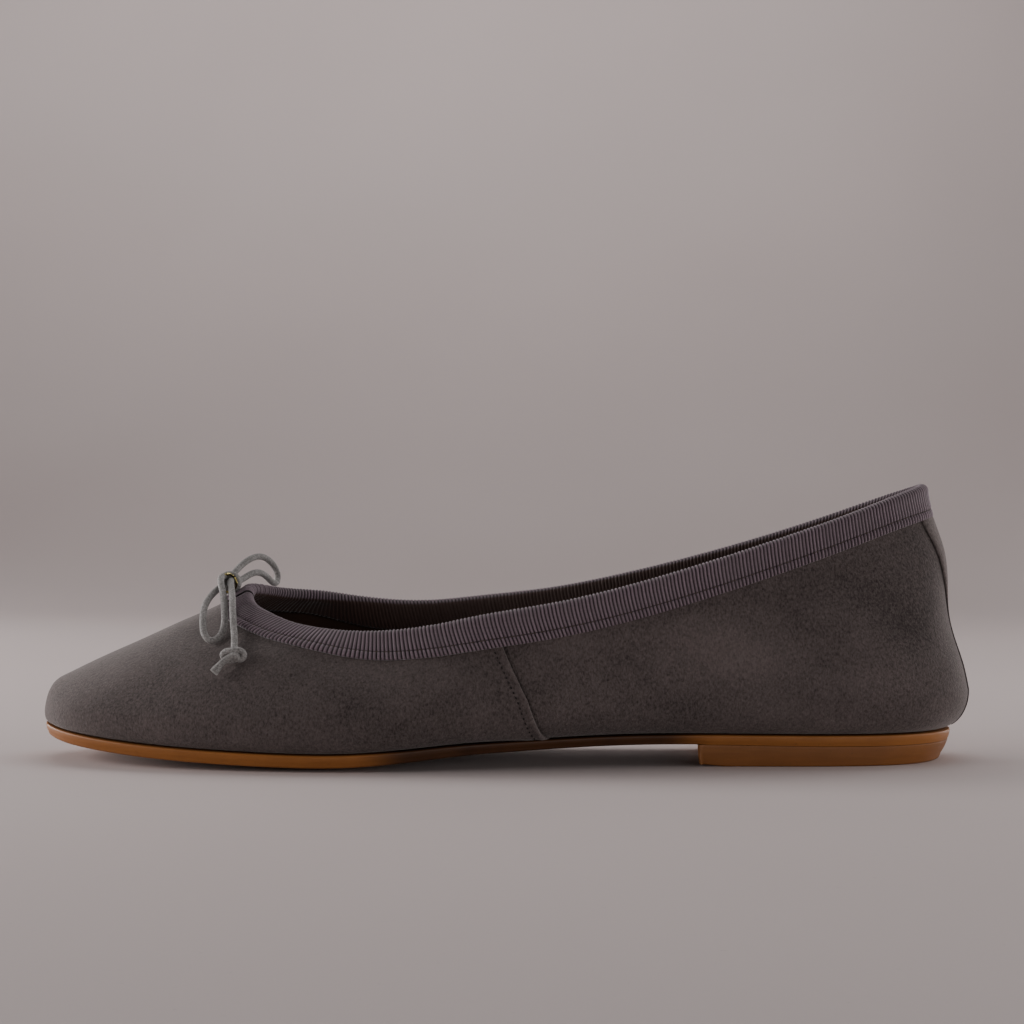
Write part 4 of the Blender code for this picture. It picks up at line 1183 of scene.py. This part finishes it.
RIBBON_DOWN = np.array([7.4, 7.25, 6.9, 6.3, 5.8, 5.45, 5.2, 4.95, 4.5, 3.7, 2.6, 1.5, 0.7]) * MM
RIBBON_ARC = np.linspace(0, math.pi, 9)
RIBBON_INSIDE = np.array([0.7, 2.0, 3.6, 5.2, 6.7, 7.4]) * MM
RIM_STEPS = 6001
GATHER = 0.00019
GATHER_WAVE = 0.00042  # metres to a radian
GATHER_ASIDE = 0.003  # from the throat's middle towards the inner side
GATHER_REACH = 0.0090  # round the throat, over which the ribbon is drawn together
THROAT_CROWD = 0.55  # how much closer the ribs lie there
THROAT_CROWD_REACH = 0.0150
TIE_AT = 0.0065  # where a thread is tied round the ribbon, from the throat's middle
TIE_THREAD = 0.00055
TIE_ENDS = 4  # points at each end of the ribbon's section that it leaves free
TIE_PINCH = 0.00045  # how far it draws the ribbon in
TIE_PINCH_REACH = 0.0008
TIE_SINK = 0.0001
RIB_SHAPE = (-1.0, 0.2, 0.85, 0.85, 0.2)  # heights over one rib, from its groove to the next
RIB_SWELL = 0.70 + 0.65 * ease((RIBBON_DOWN - 0.0015) / 0.0045)  # ribs are flatter near the rim
STITCH_ROW_SHADE = 0.20  # painted shade: how bright the ribs stay in the row under their stitches


def ribbon_ribs(turns):
    """Upper's ribs near the rim with their normals, for the ribbon to follow."""
    ups = np.linspace(0.45, 1.0, 24)
    grid = np.stack([wall(turns, np.full_like(turns, up)) for up in ups], axis=1)
    return grid, normals_of(grid, closed=True)


def ribbon_height(down):
    """How far the ribbon's face stands over the suede at a distance down from the rim."""
    stitch_down = BINDING_DROP - STITCH_ABOVE_EDGE
    groove = STITCH_GROOVE * bell(down - stitch_down, STITCH_GROOVE_REACH)
    edge = RIBBON_EDGE_DROP * ease((down - BINDING_DROP + RIBBON_EDGE_RUN) / RIBBON_EDGE_RUN)
    return BINDING_GAP + RIBBON - groove - edge


def ribbon_section(rib, faces, lift, crest, pinch):
    """The ribbon's cross-section: up its outer leg, over the rim, down inside and back underneath."""
    place, out = resampled(rib, faces, RIBBON_DOWN)
    heights = ribbon_height(RIBBON_DOWN) + lift + crest * RIB_SWELL - pinch
    outer = place + out * heights[:, None]
    top, side = resampled(rib, faces, np.array([0.0]))
    top, side = top[0], side[0]
    rise = rib[-1] - rib[-2]
    rise = rise - side * (rise @ side)
    rise /= np.linalg.norm(rise)
    middle = top + side * (lift - UPPER_WALL) / 2
    radius = (UPPER_WALL + lift) / 2 + BINDING_GAP
    turn = np.outer(np.cos(RIBBON_ARC), side) + np.outer(np.sin(RIBBON_ARC), rise)
    over = middle + turn * (radius + RIBBON + crest - pinch)
    under = middle + turn[::-2] * (radius - RIBBON_CLEAR)
    inner_place, inner_out = resampled(rib, faces, RIBBON_INSIDE)
    inside = inner_place - inner_out * (UPPER_WALL + BINDING_GAP + RIBBON + crest - pinch)
    back = inner_place[::-2] - inner_out[::-2] * (UPPER_WALL + RIBBON_CLEAR)
    front_place, front_out = resampled(rib, faces, RIBBON_DOWN[::-4])
    front = front_place + front_out * (lift + 2 * RIBBON_CLEAR)
    return np.concatenate([outer, over, inside, back, under, front])


def from_throat(reach, total):
    """Distance from the throat's middle by the shorter way, below zero on the inner side."""
    return (reach + total / 2) % total - total / 2


def rib_places(total):
    """Distances round the rim of the ribs' points, closer where the ribbon is gathered."""
    dense = np.linspace(0, total, RIM_STEPS)
    crowd = 1 + THROAT_CROWD * bell(from_throat(dense, total), THROAT_CROWD_REACH)
    woven = np.concatenate([[0], np.cumsum((crowd[1:] + crowd[:-1]) / 2 * np.diff(dense))])
    ribs = round(woven[-1] / RIB_PITCH)
    points = ribs * len(RIB_SHAPE)
    return np.interp(np.arange(points) / points * woven[-1], woven, dense), ribs


def make_binding(ribbon, thread, tie):
    """The ribbon folded over the rim with its ribs, its stitches and the thread tied round it."""
    total, at_reach = rim_reach()
    reach, ribs = rib_places(total)
    turns = at_reach(reach)
    grid, normals = ribbon_ribs(turns)
    random = np.random.default_rng(7)
    uneven = np.repeat(random.uniform(0.75, 1.15, ribs), len(RIB_SHAPE))
    wave = np.tile(RIB_SHAPE, ribs) * uneven
    near = from_throat(reach, total)
    gather = bell(near + GATHER_ASIDE, GATHER_REACH) * np.cos(near / GATHER_WAVE) * GATHER
    pinch = bell(near - TIE_AT, TIE_PINCH_REACH) * TIE_PINCH
    ribs_of_ribbon = zip(grid, normals, lap_height(turns), wave * RIB_DEPTH + gather, pinch)
    sections = np.array([ribbon_section(*rib) for rib in ribs_of_ribbon])
    mesh = grid_mesh("binding_ribbon", sections, True, True, ribbon_values(wave, sections.shape[1]))
    face_outward(mesh)
    add_piece("binding_ribbon", mesh, ribbon, "grosgrain", "binding")
    make_binding_stitches(thread, total, at_reach)
    tie_thread(tie, at_reach)


def ribbon_values(wave, around):
    """How much each point of the ribbon is a rib's crest, and whether it lies inside the shoe; both set
    its painted shade.
    """
    crest = np.clip(0.5 + 0.5 * wave, 0.0, 1.0)
    crest = np.repeat(crest[:, None], around, axis=1)
    stitch_row = int(np.abs(RIBBON_DOWN - (BINDING_DROP - STITCH_ABOVE_EDGE)).argmin())
    # painted shade along the stitch row
    crest[:, stitch_row] *= STITCH_ROW_SHADE
    inside = np.zeros_like(crest)
    inside[:, len(RIBBON_DOWN) + len(RIBBON_ARC) - 2 : -4] = 1.0
    return {"rib": crest, "inside": inside}


def make_binding_stitches(thread, total, at_reach):
    """The row of stitches above the ribbon's lower edge."""
    count = round(total / STITCH_PITCH)
    turns = at_reach((np.arange(count) + 0.5) / count * total)
    grid, normals = ribbon_ribs(turns)
    down = np.array([BINDING_DROP - STITCH_ABOVE_EDGE])
    height = ribbon_height(down)[0]
    centres = []
    for rib, faces, lift in zip(grid, normals, lap_height(turns)):
        place, out = resampled(rib, faces, down)
        centres.append(place[0] + out[0] * (height + lift + THREAD * 0.25))
    centres = np.array(centres)
    runs = np.roll(centres, -1, axis=0) - np.roll(centres, 1, axis=0)
    mesh = capsules_mesh("binding_stitches", centres, runs, STITCH_LENGTH, THREAD / 2)
    add_piece("binding_stitches", mesh, thread, "grosgrain")


def tie_thread(thread, at_reach):
    """The thread that draws the ribbon together at the throat, a ring round its fold."""
    turns = at_reach(TIE_AT + np.array([-1, 0, 1]) * SAMPLE)
    grid, _ = ribbon_ribs(turns)
    normals = normals_of(grid, closed=False)
    section = ribbon_section(grid[1], normals[1], lap_height(turns)[1], 0.0, TIE_SINK)
    shown = section[TIE_ENDS : len(RIBBON_DOWN) + len(RIBBON_ARC) + TIE_ENDS]
    points, _ = smooth_route(shown, 30)
    add_piece("throat_thread", tube("throat_thread", points, TIE_THREAD), thread, "grosgrain")


def make_seam_stitches(thread):
    """A row of short stitches behind the folded edge of each side seam."""
    centres, runs = [], []
    first = len(MARGIN_SHARES)
    for seam, forward in ((SEAM_LATERAL, -1), (SEAM_MEDIAL, 1)):
        turn = seam + forward * SEAM_STITCH_AT / TURN_LENGTH
        turns = turn + np.array([-1, 0, 1]) * SAMPLE / TURN_LENGTH
        grid = upper_grid(turns, UPPER_LOWER_ROWS, UPPER_WALL_ROWS)
        normals = normals_of(grid, closed=False)
        rib, faces = grid[1, first:], normals[1, first:]
        start = BINDING_DROP + SEAM_STITCHES_FROM
        downs = np.arange(start, steps_of(rib).sum() - SEAM_STITCHES_TO, SEAM_PITCH)
        place, out = resampled(rib, faces, downs)
        points = place + out * (seam_relief(np.array([turn]))[0] + SEAM_THREAD_LIFT)
        centres += list(points)
        runs += list(np.gradient(points, axis=0))
    mesh = capsules_mesh("seam_stitches", centres, runs, SEAM_STITCH, SEAM_THREAD / 2)
    add_piece("seam_stitches", mesh, thread, "suede")


def strip_ground(ups):
    """Points and normals of the upper's back, in a column for each share of the way up."""
    reach = 1.6 * STRIP_HALF_WIDTH / TURN_LENGTH
    turns = BACK_TURN + np.linspace(-reach, reach, STRIP_RIBS)
    grid = upper_grid(turns, UPPER_LOWER_ROWS, UPPER_WALL_ROWS)
    normals = normals_of(grid, closed=False)
    first = len(MARGIN_SHARES) + STRIP_FOOT_ROW
    under = BINDING_DROP - STRIP_UNDER_RIBBON
    found = []
    for rib, faces in zip(grid[:, first:], normals[:, first:]):
        down = under + (1 - ups) * (steps_of(rib).sum() - under)
        found.append(resampled(rib, faces, down))
    places, outs = zip(*found)
    return np.array(places), np.array(outs)


def make_back_strip(suede):
    """The strip that covers the back seam, from under the binding down to the sole."""
    ups = np.linspace(0, 1, STRIP_ROWS)
    widths = column_of(STRIP, 1)(ups) * STRIP_HALF_WIDTH
    thicknesses = STRIP_THICKNESS * (STRIP_THIN + (1 - STRIP_THIN) * ease((ups - 0.50) / 0.25))
    ends = np.sqrt(np.maximum(1 - np.abs(2 * ups - 1) ** 40, 0.0))
    shares = np.sin(np.linspace(-1, 1, STRIP_ACROSS) * math.pi / 2)
    crown = np.sqrt(np.maximum(1 - np.abs(shares) ** 10, 0.0))
    places, outs = strip_ground(ups)
    under, edge = STRIP_FACES
    face, floor = [], []
    for row in range(STRIP_ROWS):
        reach = reach_of(places[:, row])
        reach -= reach[STRIP_RIBS // 2]
        at = points_at(shares * widths[row], reach, places[:, row])
        out = points_at(shares * widths[row], reach, outs[:, row])
        thickness = edge + thicknesses[row] * (STRIP_EDGE + (1 - STRIP_EDGE) * crown * ends[row])
        floor.append(at + out * under)
        face.append(at + out * thickness[:, None])
    section = np.concatenate([np.array(face), np.array(floor)[:, ::-1]], axis=1)
    around = section.shape[1]
    nap_and_painted_shading = np.repeat((ease((ups - 0.55) / 0.2) * STRIP_WIDE_LIGHTER)[:, None], around, axis=1)
    # painted shade along the strip's cut edges
    nap_and_painted_shading[:, [0, STRIP_ACROSS - 1]] += STRIP_EDGE_SHADE
    mesh = grid_mesh("back_seam_strip", section, False, True, {"nap_and_painted_shading": nap_and_painted_shading})
    cap_ends(mesh, around)
    face_outward(mesh)
    add_piece("back_seam_strip", mesh, suede, "suede", "back_strip")


def cap_ends(mesh, around):
    """Closes the first and the last section of a mesh made from a grid."""
    work = bmesh.new()
    work.from_mesh(mesh)
    work.verts.ensure_lookup_table()
    count = len(work.verts)
    for ring in (range(around), range(count - around, count)):
        work.faces.new([work.verts[i] for i in ring])
    work.to_mesh(mesh)
    work.free()


def side_lines():
    """The lateral and the medial edge of the sole as functions of x."""
    turns = np.linspace(0, 1, 4 * FINE)
    xy = outline(turns)
    halfway = turns <= BACK_TURN
    return xy[halfway], xy[~halfway][::-1]


LATERAL_EDGE, MEDIAL_EDGE = side_lines()


def middle_and_half(x):
    """The middle line of the sole at x, and half its width there."""
    lateral = np.interp(x, LATERAL_EDGE[:, 0], LATERAL_EDGE[:, 1])
    medial = np.interp(x, MEDIAL_EDGE[:, 0], MEDIAL_EDGE[:, 1])
    return (lateral + medial) / 2, np.maximum((medial - lateral) / 2, 1e-5)


def sole_under(x, y):
    """The sole's underside, crowned along the middle and flat where it meets the floor."""
    middle, half = middle_and_half(x)
    side = np.clip((y - middle) / half, -1, 1)
    share = along(x)
    edge = sole_top(x) - side_thickness(share) * SOLE_THICKNESS
    return np.maximum(edge - side_crown(share) * SOLE_CROWN * (1 - side**2), 0.0)


def breast_x(y):
    """The heel's breast, which lies further back on the inner side."""
    lateral = np.interp(HEEL_BREAST_X, LATERAL_EDGE[:, 0], LATERAL_EDGE[:, 1])
    medial = np.interp(HEEL_BREAST_X + HEEL_BREAST_SLANT, MEDIAL_EDGE[:, 0], MEDIAL_EDGE[:, 1])
    return HEEL_BREAST_X + HEEL_BREAST_SLANT * (y - lateral) / (medial - lateral)


def heel_under(x, y):
    """The heel's underside, which lifts a little towards its breast."""
    return HEEL_FRONT_LIFT * np.maximum(1 - (x - breast_x(y)) / HEEL_FRONT_RUN, 0.0)


def slab_mesh(name, edge, normal, axis, top, bottom, insets, radii, bulge=SLAB_BULGE, painted_shade=0.0):
    """A plate with rounded edges: rings from its middle line out over its edge and back below.

    The edge and its normals go once round it, and the axis gives the middle point for each. The
    insets, radii, bulge and painted shade are numbers, or one number for each point of the edge.
    """
    rings = []

    def all_round(value):
        return np.broadcast_to(value, len(edge))

    def ring(inset, height, lift):
        xy = edge - normal * inset[:, None]
        rings.append(np.column_stack([xy, height(xy[:, 0], xy[:, 1]) + lift]))

    def spokes(inset, height, shares):
        start = edge - normal * inset[:, None]
        for share in shares:
            xy = axis + (start - axis) * share
            rings.append(np.column_stack([xy, height(xy[:, 0], xy[:, 1])]))

    top_radius, bottom_radius = (all_round(value) for value in radii)
    top_inset, bottom_inset = (all_round(value) for value in insets)
    spokes(top_inset + top_radius, top, SPOKE_SHARES)
    for angle in np.linspace(0, math.pi / 2, 5):
        inset = top_inset + top_radius * (1 - math.sin(angle))
        ring(inset, top, top_radius * (math.cos(angle) - 1))
    edge_top = edge - normal * top_inset[:, None]
    edge_bottom = edge - normal * bottom_inset[:, None]
    high = top(edge_top[:, 0], edge_top[:, 1]) - top_radius
    low = bottom(edge_bottom[:, 0], edge_bottom[:, 1]) + bottom_radius
    for share in np.linspace(0, 1, 9)[1:-1]:
        out = all_round(bulge) * math.sin(share * math.pi)
        xy = edge_top * (1 - share) + edge_bottom * share + normal * out[:, None]
        rings.append(np.column_stack([xy, high * (1 - share) + low * share]))
    for angle in np.linspace(math.pi / 2, 0, 6):
        inset = bottom_inset + bottom_radius * (1 - math.sin(angle))
        ring(inset, bottom, bottom_radius * (1 - math.cos(angle)))
    spokes(bottom_inset + bottom_radius, bottom, SPOKE_SHARES[::-1])
    # painted shade, the same on every ring at a point round the slab
    dark = np.repeat(all_round(painted_shade)[:, None], len(rings), axis=1)
    mesh = grid_mesh(name, np.stack(rings, axis=1), True, values={"painted_shade": dark})
    join_middle(mesh)
    return mesh


def join_middle(mesh):
    """Joins the points that a slab's two sides share on its middle line."""
    work = bmesh.new()
    work.from_mesh(mesh)
    bmesh.ops.remove_doubles(work, verts=work.verts, dist=2e-5)
    bmesh.ops.dissolve_degenerate(work, edges=work.edges, dist=1e-6)
    bmesh.ops.recalc_face_normals(work, faces=work.faces)
    work.to_mesh(mesh)
    work.free()
    mesh.polygons.foreach_set("use_smooth", [True] * len(mesh.polygons))


def axis_of(edge, first_x, last_x):
    """Points of the middle line on even steps, so that both sides of a slab share them."""
    x = np.round(np.clip(edge[:, 0], first_x, last_x) / AXIS_STEP) * AXIS_STEP
    return np.column_stack([x, middle_and_half(x)[0]])


def flat_top(x, _y):
    return sole_top(x)


def heel_top(x, y):
    return sole_under(x, y) - HEEL_CLEAR


def make_sole(leather, heel_leather, sock):
    """The outsole, the low heel under it and the insole inside the shoe."""
    turns = np.linspace(0, 1, SOLE_AROUND, endpoint=False)
    turns = turns - SOLE_CROWDING * np.sin(4 * math.pi * turns) / (4 * math.pi)
    edge, normal = outline(turns), outward(turns)
    axis = axis_of(edge, SOLE_TIP_X + SOLE_AXIS[0], SOLE_BACK_X - SOLE_AXIS[1])
    insets = (0.0, SOLE_EDGE_TAPER)
    over_heel = ease((edge[:, 0] - HEEL_BREAST_X) / SOLE_HEEL_RUN)
    under_radius = SOLE_UNDER_RADIUS + (SOLE_HEEL_RADIUS - SOLE_UNDER_RADIUS) * over_heel
    radii = (SOLE_TOP_RADIUS, under_radius)
    share = along(edge[:, 0])
    # painted shade on the edge of the sole's waist, fading in at its ends
    first, last = WAIST_PAINTED_SHADE
    waist_shade = ease((share - first) / WAIST_FADE) * ease((last - share) / WAIST_FADE)
    mesh = slab_mesh(
        "leather_outsole", edge, normal, axis, flat_top, sole_under, insets, radii, painted_shade=waist_shade
    )
    add_piece("leather_outsole", mesh, leather, "sole", "outsole")
    make_sock(edge, normal, sock)
    make_heel(heel_leather)


def make_sock(edge, normal, leather):
    """The insole with its slightly dished face, inside the upper's turned-in margin."""
    edge_in = edge - normal * (FEATHER_INSET + INSOLE_EASE)
    axis = axis_of(edge_in, SOLE_TIP_X + SOCK_AXIS[0], SOLE_BACK_X - SOCK_AXIS[1])

    def low(x, _y):
        return sole_top(x) + GAP + UPPER_WALL + GAP

    def high(x, y):
        middle, half = middle_and_half(x)
        dish = SOCK_DISH * (1 - np.clip((y - middle) / half, -1, 1) ** 2)
        return low(x, y) + INSOLE_THICKNESS - dish

    mesh = slab_mesh("sock", edge_in, normal, axis, high, low, (0.0, 0.0), SOCK_RADII)
    add_piece("sock", mesh, leather, "lining", "insole")


def make_heel(leather):
    """The heel lift: the back of the sole's outline closed by its straight front face."""
    turns = np.linspace(0, 1, HEEL_AROUND, endpoint=False)
    edge = outline(turns)
    turns = turns[edge[:, 0] > breast_x(edge[:, 1]) + HEEL_CORNER]
    edge, normal = outline(turns), outward(turns)
    count = len(turns)
    front_y = np.linspace(edge[-1, 1] - HEEL_CORNER, edge[0, 1] + HEEL_CORNER, BREAST_ACROSS)
    front = np.column_stack([breast_x(front_y), front_y])
    facing = np.tile([-1.0, 0.0], (BREAST_ACROSS, 1))
    edge = np.concatenate([edge, front])
    normal = np.concatenate([normal, facing])
    breast = np.arange(len(edge)) >= count
    normal[[0, count - 1]] = [(-0.6, -0.8), (-0.6, 0.8)]
    rear = np.maximum(normal[:, 0], 0.0) ** 2
    taper = HEEL_SIDE_TAPER + (HEEL_TAPER - HEEL_SIDE_TAPER) * rear
    top_inset = np.where(breast, 0.0, SOLE_EDGE_TAPER)
    bottom_inset = np.where(breast, HEEL_BREAST_TAPER, SOLE_EDGE_TAPER + taper)
    axis = axis_of(edge, HEEL_BREAST_X + HEEL_AXIS[0], SOLE_BACK_X - HEEL_AXIS[1])
    insets = (top_inset, bottom_inset)
    radii = (HEEL_TOP_RADIUS, HEEL_UNDER_RADIUS + HEEL_REAR_RADIUS * rear)
    bulge = HEEL_BULGE * (1 + rear)
    mesh = slab_mesh("heel_lift", edge, normal, axis, heel_top, heel_under, insets, radii, bulge)
    add_piece("heel_lift", mesh, leather, "heel", "heel")


# The bow

def knot_point(offset):
    """A place given in millimetres from the middle of the knot."""
    return Vector(KNOT) + Vector(offset) * MM


def make_end_knot(name, route, fibre, replaced):
    """The overhand knot at the end of a tail, with its short flared end."""
    end, before = knot_point(route[-1]), knot_point(route[-2])
    run = (end - before).normalized()
    side = -1.0 if end.y < 0 else 1.0
    out = Vector((0.0, side, END_KNOT_RISE))
    out = (out - run * out.dot(run)).normalized()
    across = out.cross(run) * -side
    points = [end + (across * a + run * b + out * c) * CORD for a, b, c in END_KNOT]
    points, _ = smooth_route(points, ROUTE_POINTS)
    share = np.linspace(0, 1, ROUTE_POINTS)
    widening = ease((share - END_KNOT_FLARE_FROM) / (1 - END_KNOT_FLARE_FROM))
    widths = END_KNOT_WIDTH + (END_KNOT_FLARE - END_KNOT_WIDTH) * widening
    return add_piece(name, tube(name, points, CORD, widths), fibre, "cord", replaced)


def make_wrap(fibre):
    """The turns of cord round the middle of the knot."""
    centre = knot_point(WRAP_MIDDLE)
    points = []
    for angle in np.linspace(-0.3, WRAP_TURNS * 2 * math.pi, 70):
        slide = (angle / (2 * math.pi) - WRAP_TURNS / 2) * CORD * WRAP_SPACING
        turn = Vector((math.cos(angle) * WRAP_RADIUS, slide, math.sin(angle) * WRAP_RADIUS))
        points.append(centre + turn)
    return add_piece("bow_wrap", tube("bow_wrap", points, CORD), fibre, "cord", "bow_knot")


def make_bow(fibre, brass):
    """Both cords, the turns of cord round their middle, the end knots and the ring's metal."""
    wrap = make_wrap(fibre)
    outer_knot = make_end_knot("end_knot_outer", INNER_CORD, fibre, "tail_knot_lateral")
    inner_knot = make_end_knot("end_knot_inner", OUTER_CORD, fibre, "tail_knot_medial")
    for name, route, stands_for, pieces in (
        ("cord_outer", OUTER_CORD, ("bow_loop_lateral", "bow_tail_medial"), [wrap, inner_knot]),
        ("cord_inner", INNER_CORD, ("bow_loop_medial", "bow_tail_lateral"), [outer_knot]),
    ):
        points, length = smooth_route([knot_point(place) for place in route], ROUTE_POINTS)
        cord = add_piece(name, tube(name, points, CORD), fibre, "cord", *stands_for)
    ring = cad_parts["eyelet"]
    ring.data.materials.clear()
    ring.data.materials.append(brass)


# Stage, camera and lights

def sweep_material():
    """Pale paper with faint clouds and flecks."""
    paint = Paint("sweep")
    tone = paint.noise(0.25, 2.0, 0.5)
    fleck = paint.noise(0.0020, 2.0, 0.5)
    colour = paint.mix(paint.spread(tone, 0.3, 0.7), (0.570, 0.495, 0.484), (0.590, 0.515, 0.504))
    colour = paint.mix(paint.spread(fleck, 0.70, 0.80, 0.0, 0.2), colour, (0.30, 0.26, 0.25))
    paint.set(specular_ior_level=0.25)
    return paint.finish(colour, paint.spread(tone, 0.3, 0.7, 0.60, 0.75))


def make_stage():
    """A pale seamless sweep: the floor, and a backdrop that rises behind it in one curve."""
    bend_from = SWEEP_BACK - SWEEP_BEND
    profile = [(SWEEP_FRONT, 0.0), (bend_from, 0.0)]
    for angle in np.linspace(0, math.pi / 2, SWEEP_STEPS)[1:]:
        ahead = SWEEP_BEND * math.sin(angle)
        profile.append((bend_from + ahead, SWEEP_BEND * (1 - math.cos(angle))))
    profile.append((SWEEP_BACK, SWEEP_HEIGHT))
    sides = (-SWEEP_HALF_WIDTH, SWEEP_HALF_WIDTH)
    grid = np.array([[(x, y, z) for y, z in profile] for x in sides])
    sweep = bpy.data.objects.new("sweep", grid_mesh("sweep", grid, False))
    bpy.context.scene.collection.objects.link(sweep)
    sweep.data.materials.append(sweep_material())


def make_camera():
    """A level camera that looks square on to the outer side."""
    data = bpy.data.cameras.new("camera")
    data.sensor_width = SENSOR
    data.lens = FOCAL_PIXELS / IMAGE_SIZE * SENSOR
    data.clip_start = 0.01
    camera = bpy.data.objects.new("camera", data)
    camera.location = Vector(CAMERA_PLACE) + SHIFT
    camera.rotation_euler = (math.radians(90), 0.0, 0.0)
    bpy.context.scene.collection.objects.link(camera)
    bpy.context.scene.camera = camera


def soft_light(name, place, target, size, power):
    """A rectangular soft box that faces its target."""
    data = bpy.data.lights.new(name, "AREA")
    data.shape = "RECTANGLE"
    data.size, data.size_y = size
    data.energy = power
    data.color = LIGHT_COLOUR
    light = bpy.data.objects.new(name, data)
    light.location = place
    light.rotation_euler = (Vector(target) - Vector(place)).to_track_quat("-Z", "Y").to_euler()
    bpy.context.scene.collection.objects.link(light)


def make_lights():
    """Soft boxes at the ends of the shoe, overhead, on the backdrop, and low in front and behind."""
    soft_light("toe_side", (-0.83, 0.02, 0.25), (-0.05, 0.0, 0.02), (0.7, 0.40), 6.4)
    soft_light("heel_side", (0.82, -0.02, 0.25), (0.05, 0.0, 0.03), (0.7, 0.45), 2.5)
    soft_light("overhead", (0.06, 0.36, 0.66), (0.0, 0.14, 0.0), (1.1, 0.4), 2.9)
    soft_light("backdrop", (-0.20, 1.38, 1.05), (-0.20, 1.82, 0.56), (1.8, 0.3), 6.2)
    soft_light("front", (0.62, -1.13, 0.18), (0.10, 0.0, 0.03), (1.6, 0.34), 5.2)
    soft_light("low_rear_left", (-0.85, 0.62, 0.09), (0.02, 0.0, 0.01), (0.5, 0.15), 4.6)
    soft_light("low_rear_right", (0.90, 0.75, 0.12), (0.22, 0.50, 0.0), (0.5, 0.2), 3.0)
    world = bpy.context.scene.world or bpy.data.worlds.new("world")
    bpy.context.scene.world = world
    world.use_nodes = True
    background = world.node_tree.nodes["Background"]
    background.inputs["Color"].default_value = (1.0, 0.97, 0.96, 1.0)
    background.inputs["Strength"].default_value = 0.06


def main():
    make_camera()
    make_lights()
    make_stage()
    suede = suede_material("grey_suede", (0.021, 0.0158, 0.0150), (0.128, 0.103, 0.099))
    lining = leather_material(
        "lining_leather", (0.060, 0.032, 0.022), (0.034, 0.018, 0.013), (0.55, 0.75)
    )
    sock = leather_material(
        "sock_leather", (0.085, 0.050, 0.034), (0.050, 0.028, 0.018), (0.50, 0.70)
    )
    ribbon = ribbon_material()
    thread = thread_material("ribbon_thread", (0.105, 0.076, 0.058), (0.030, 0.021, 0.017))
    dark_thread = thread_material("seam_thread", (0.022, 0.016, 0.014), (0.008, 0.006, 0.006))
    leather = sole_material("edge_leather", (0.290, 0.110, 0.025), (0.190, 0.065, 0.013))
    heel_leather = sole_material("heel_leather", (0.205, 0.076, 0.018), (0.135, 0.046, 0.009))
    make_bow(cord_material(), brass_material())
    make_upper(suede, lining)
    make_binding(ribbon, thread, dark_thread)
    make_seam_stitches(dark_thread)
    make_back_strip(suede)
    make_sole(leather, heel_leather, sock)


main()
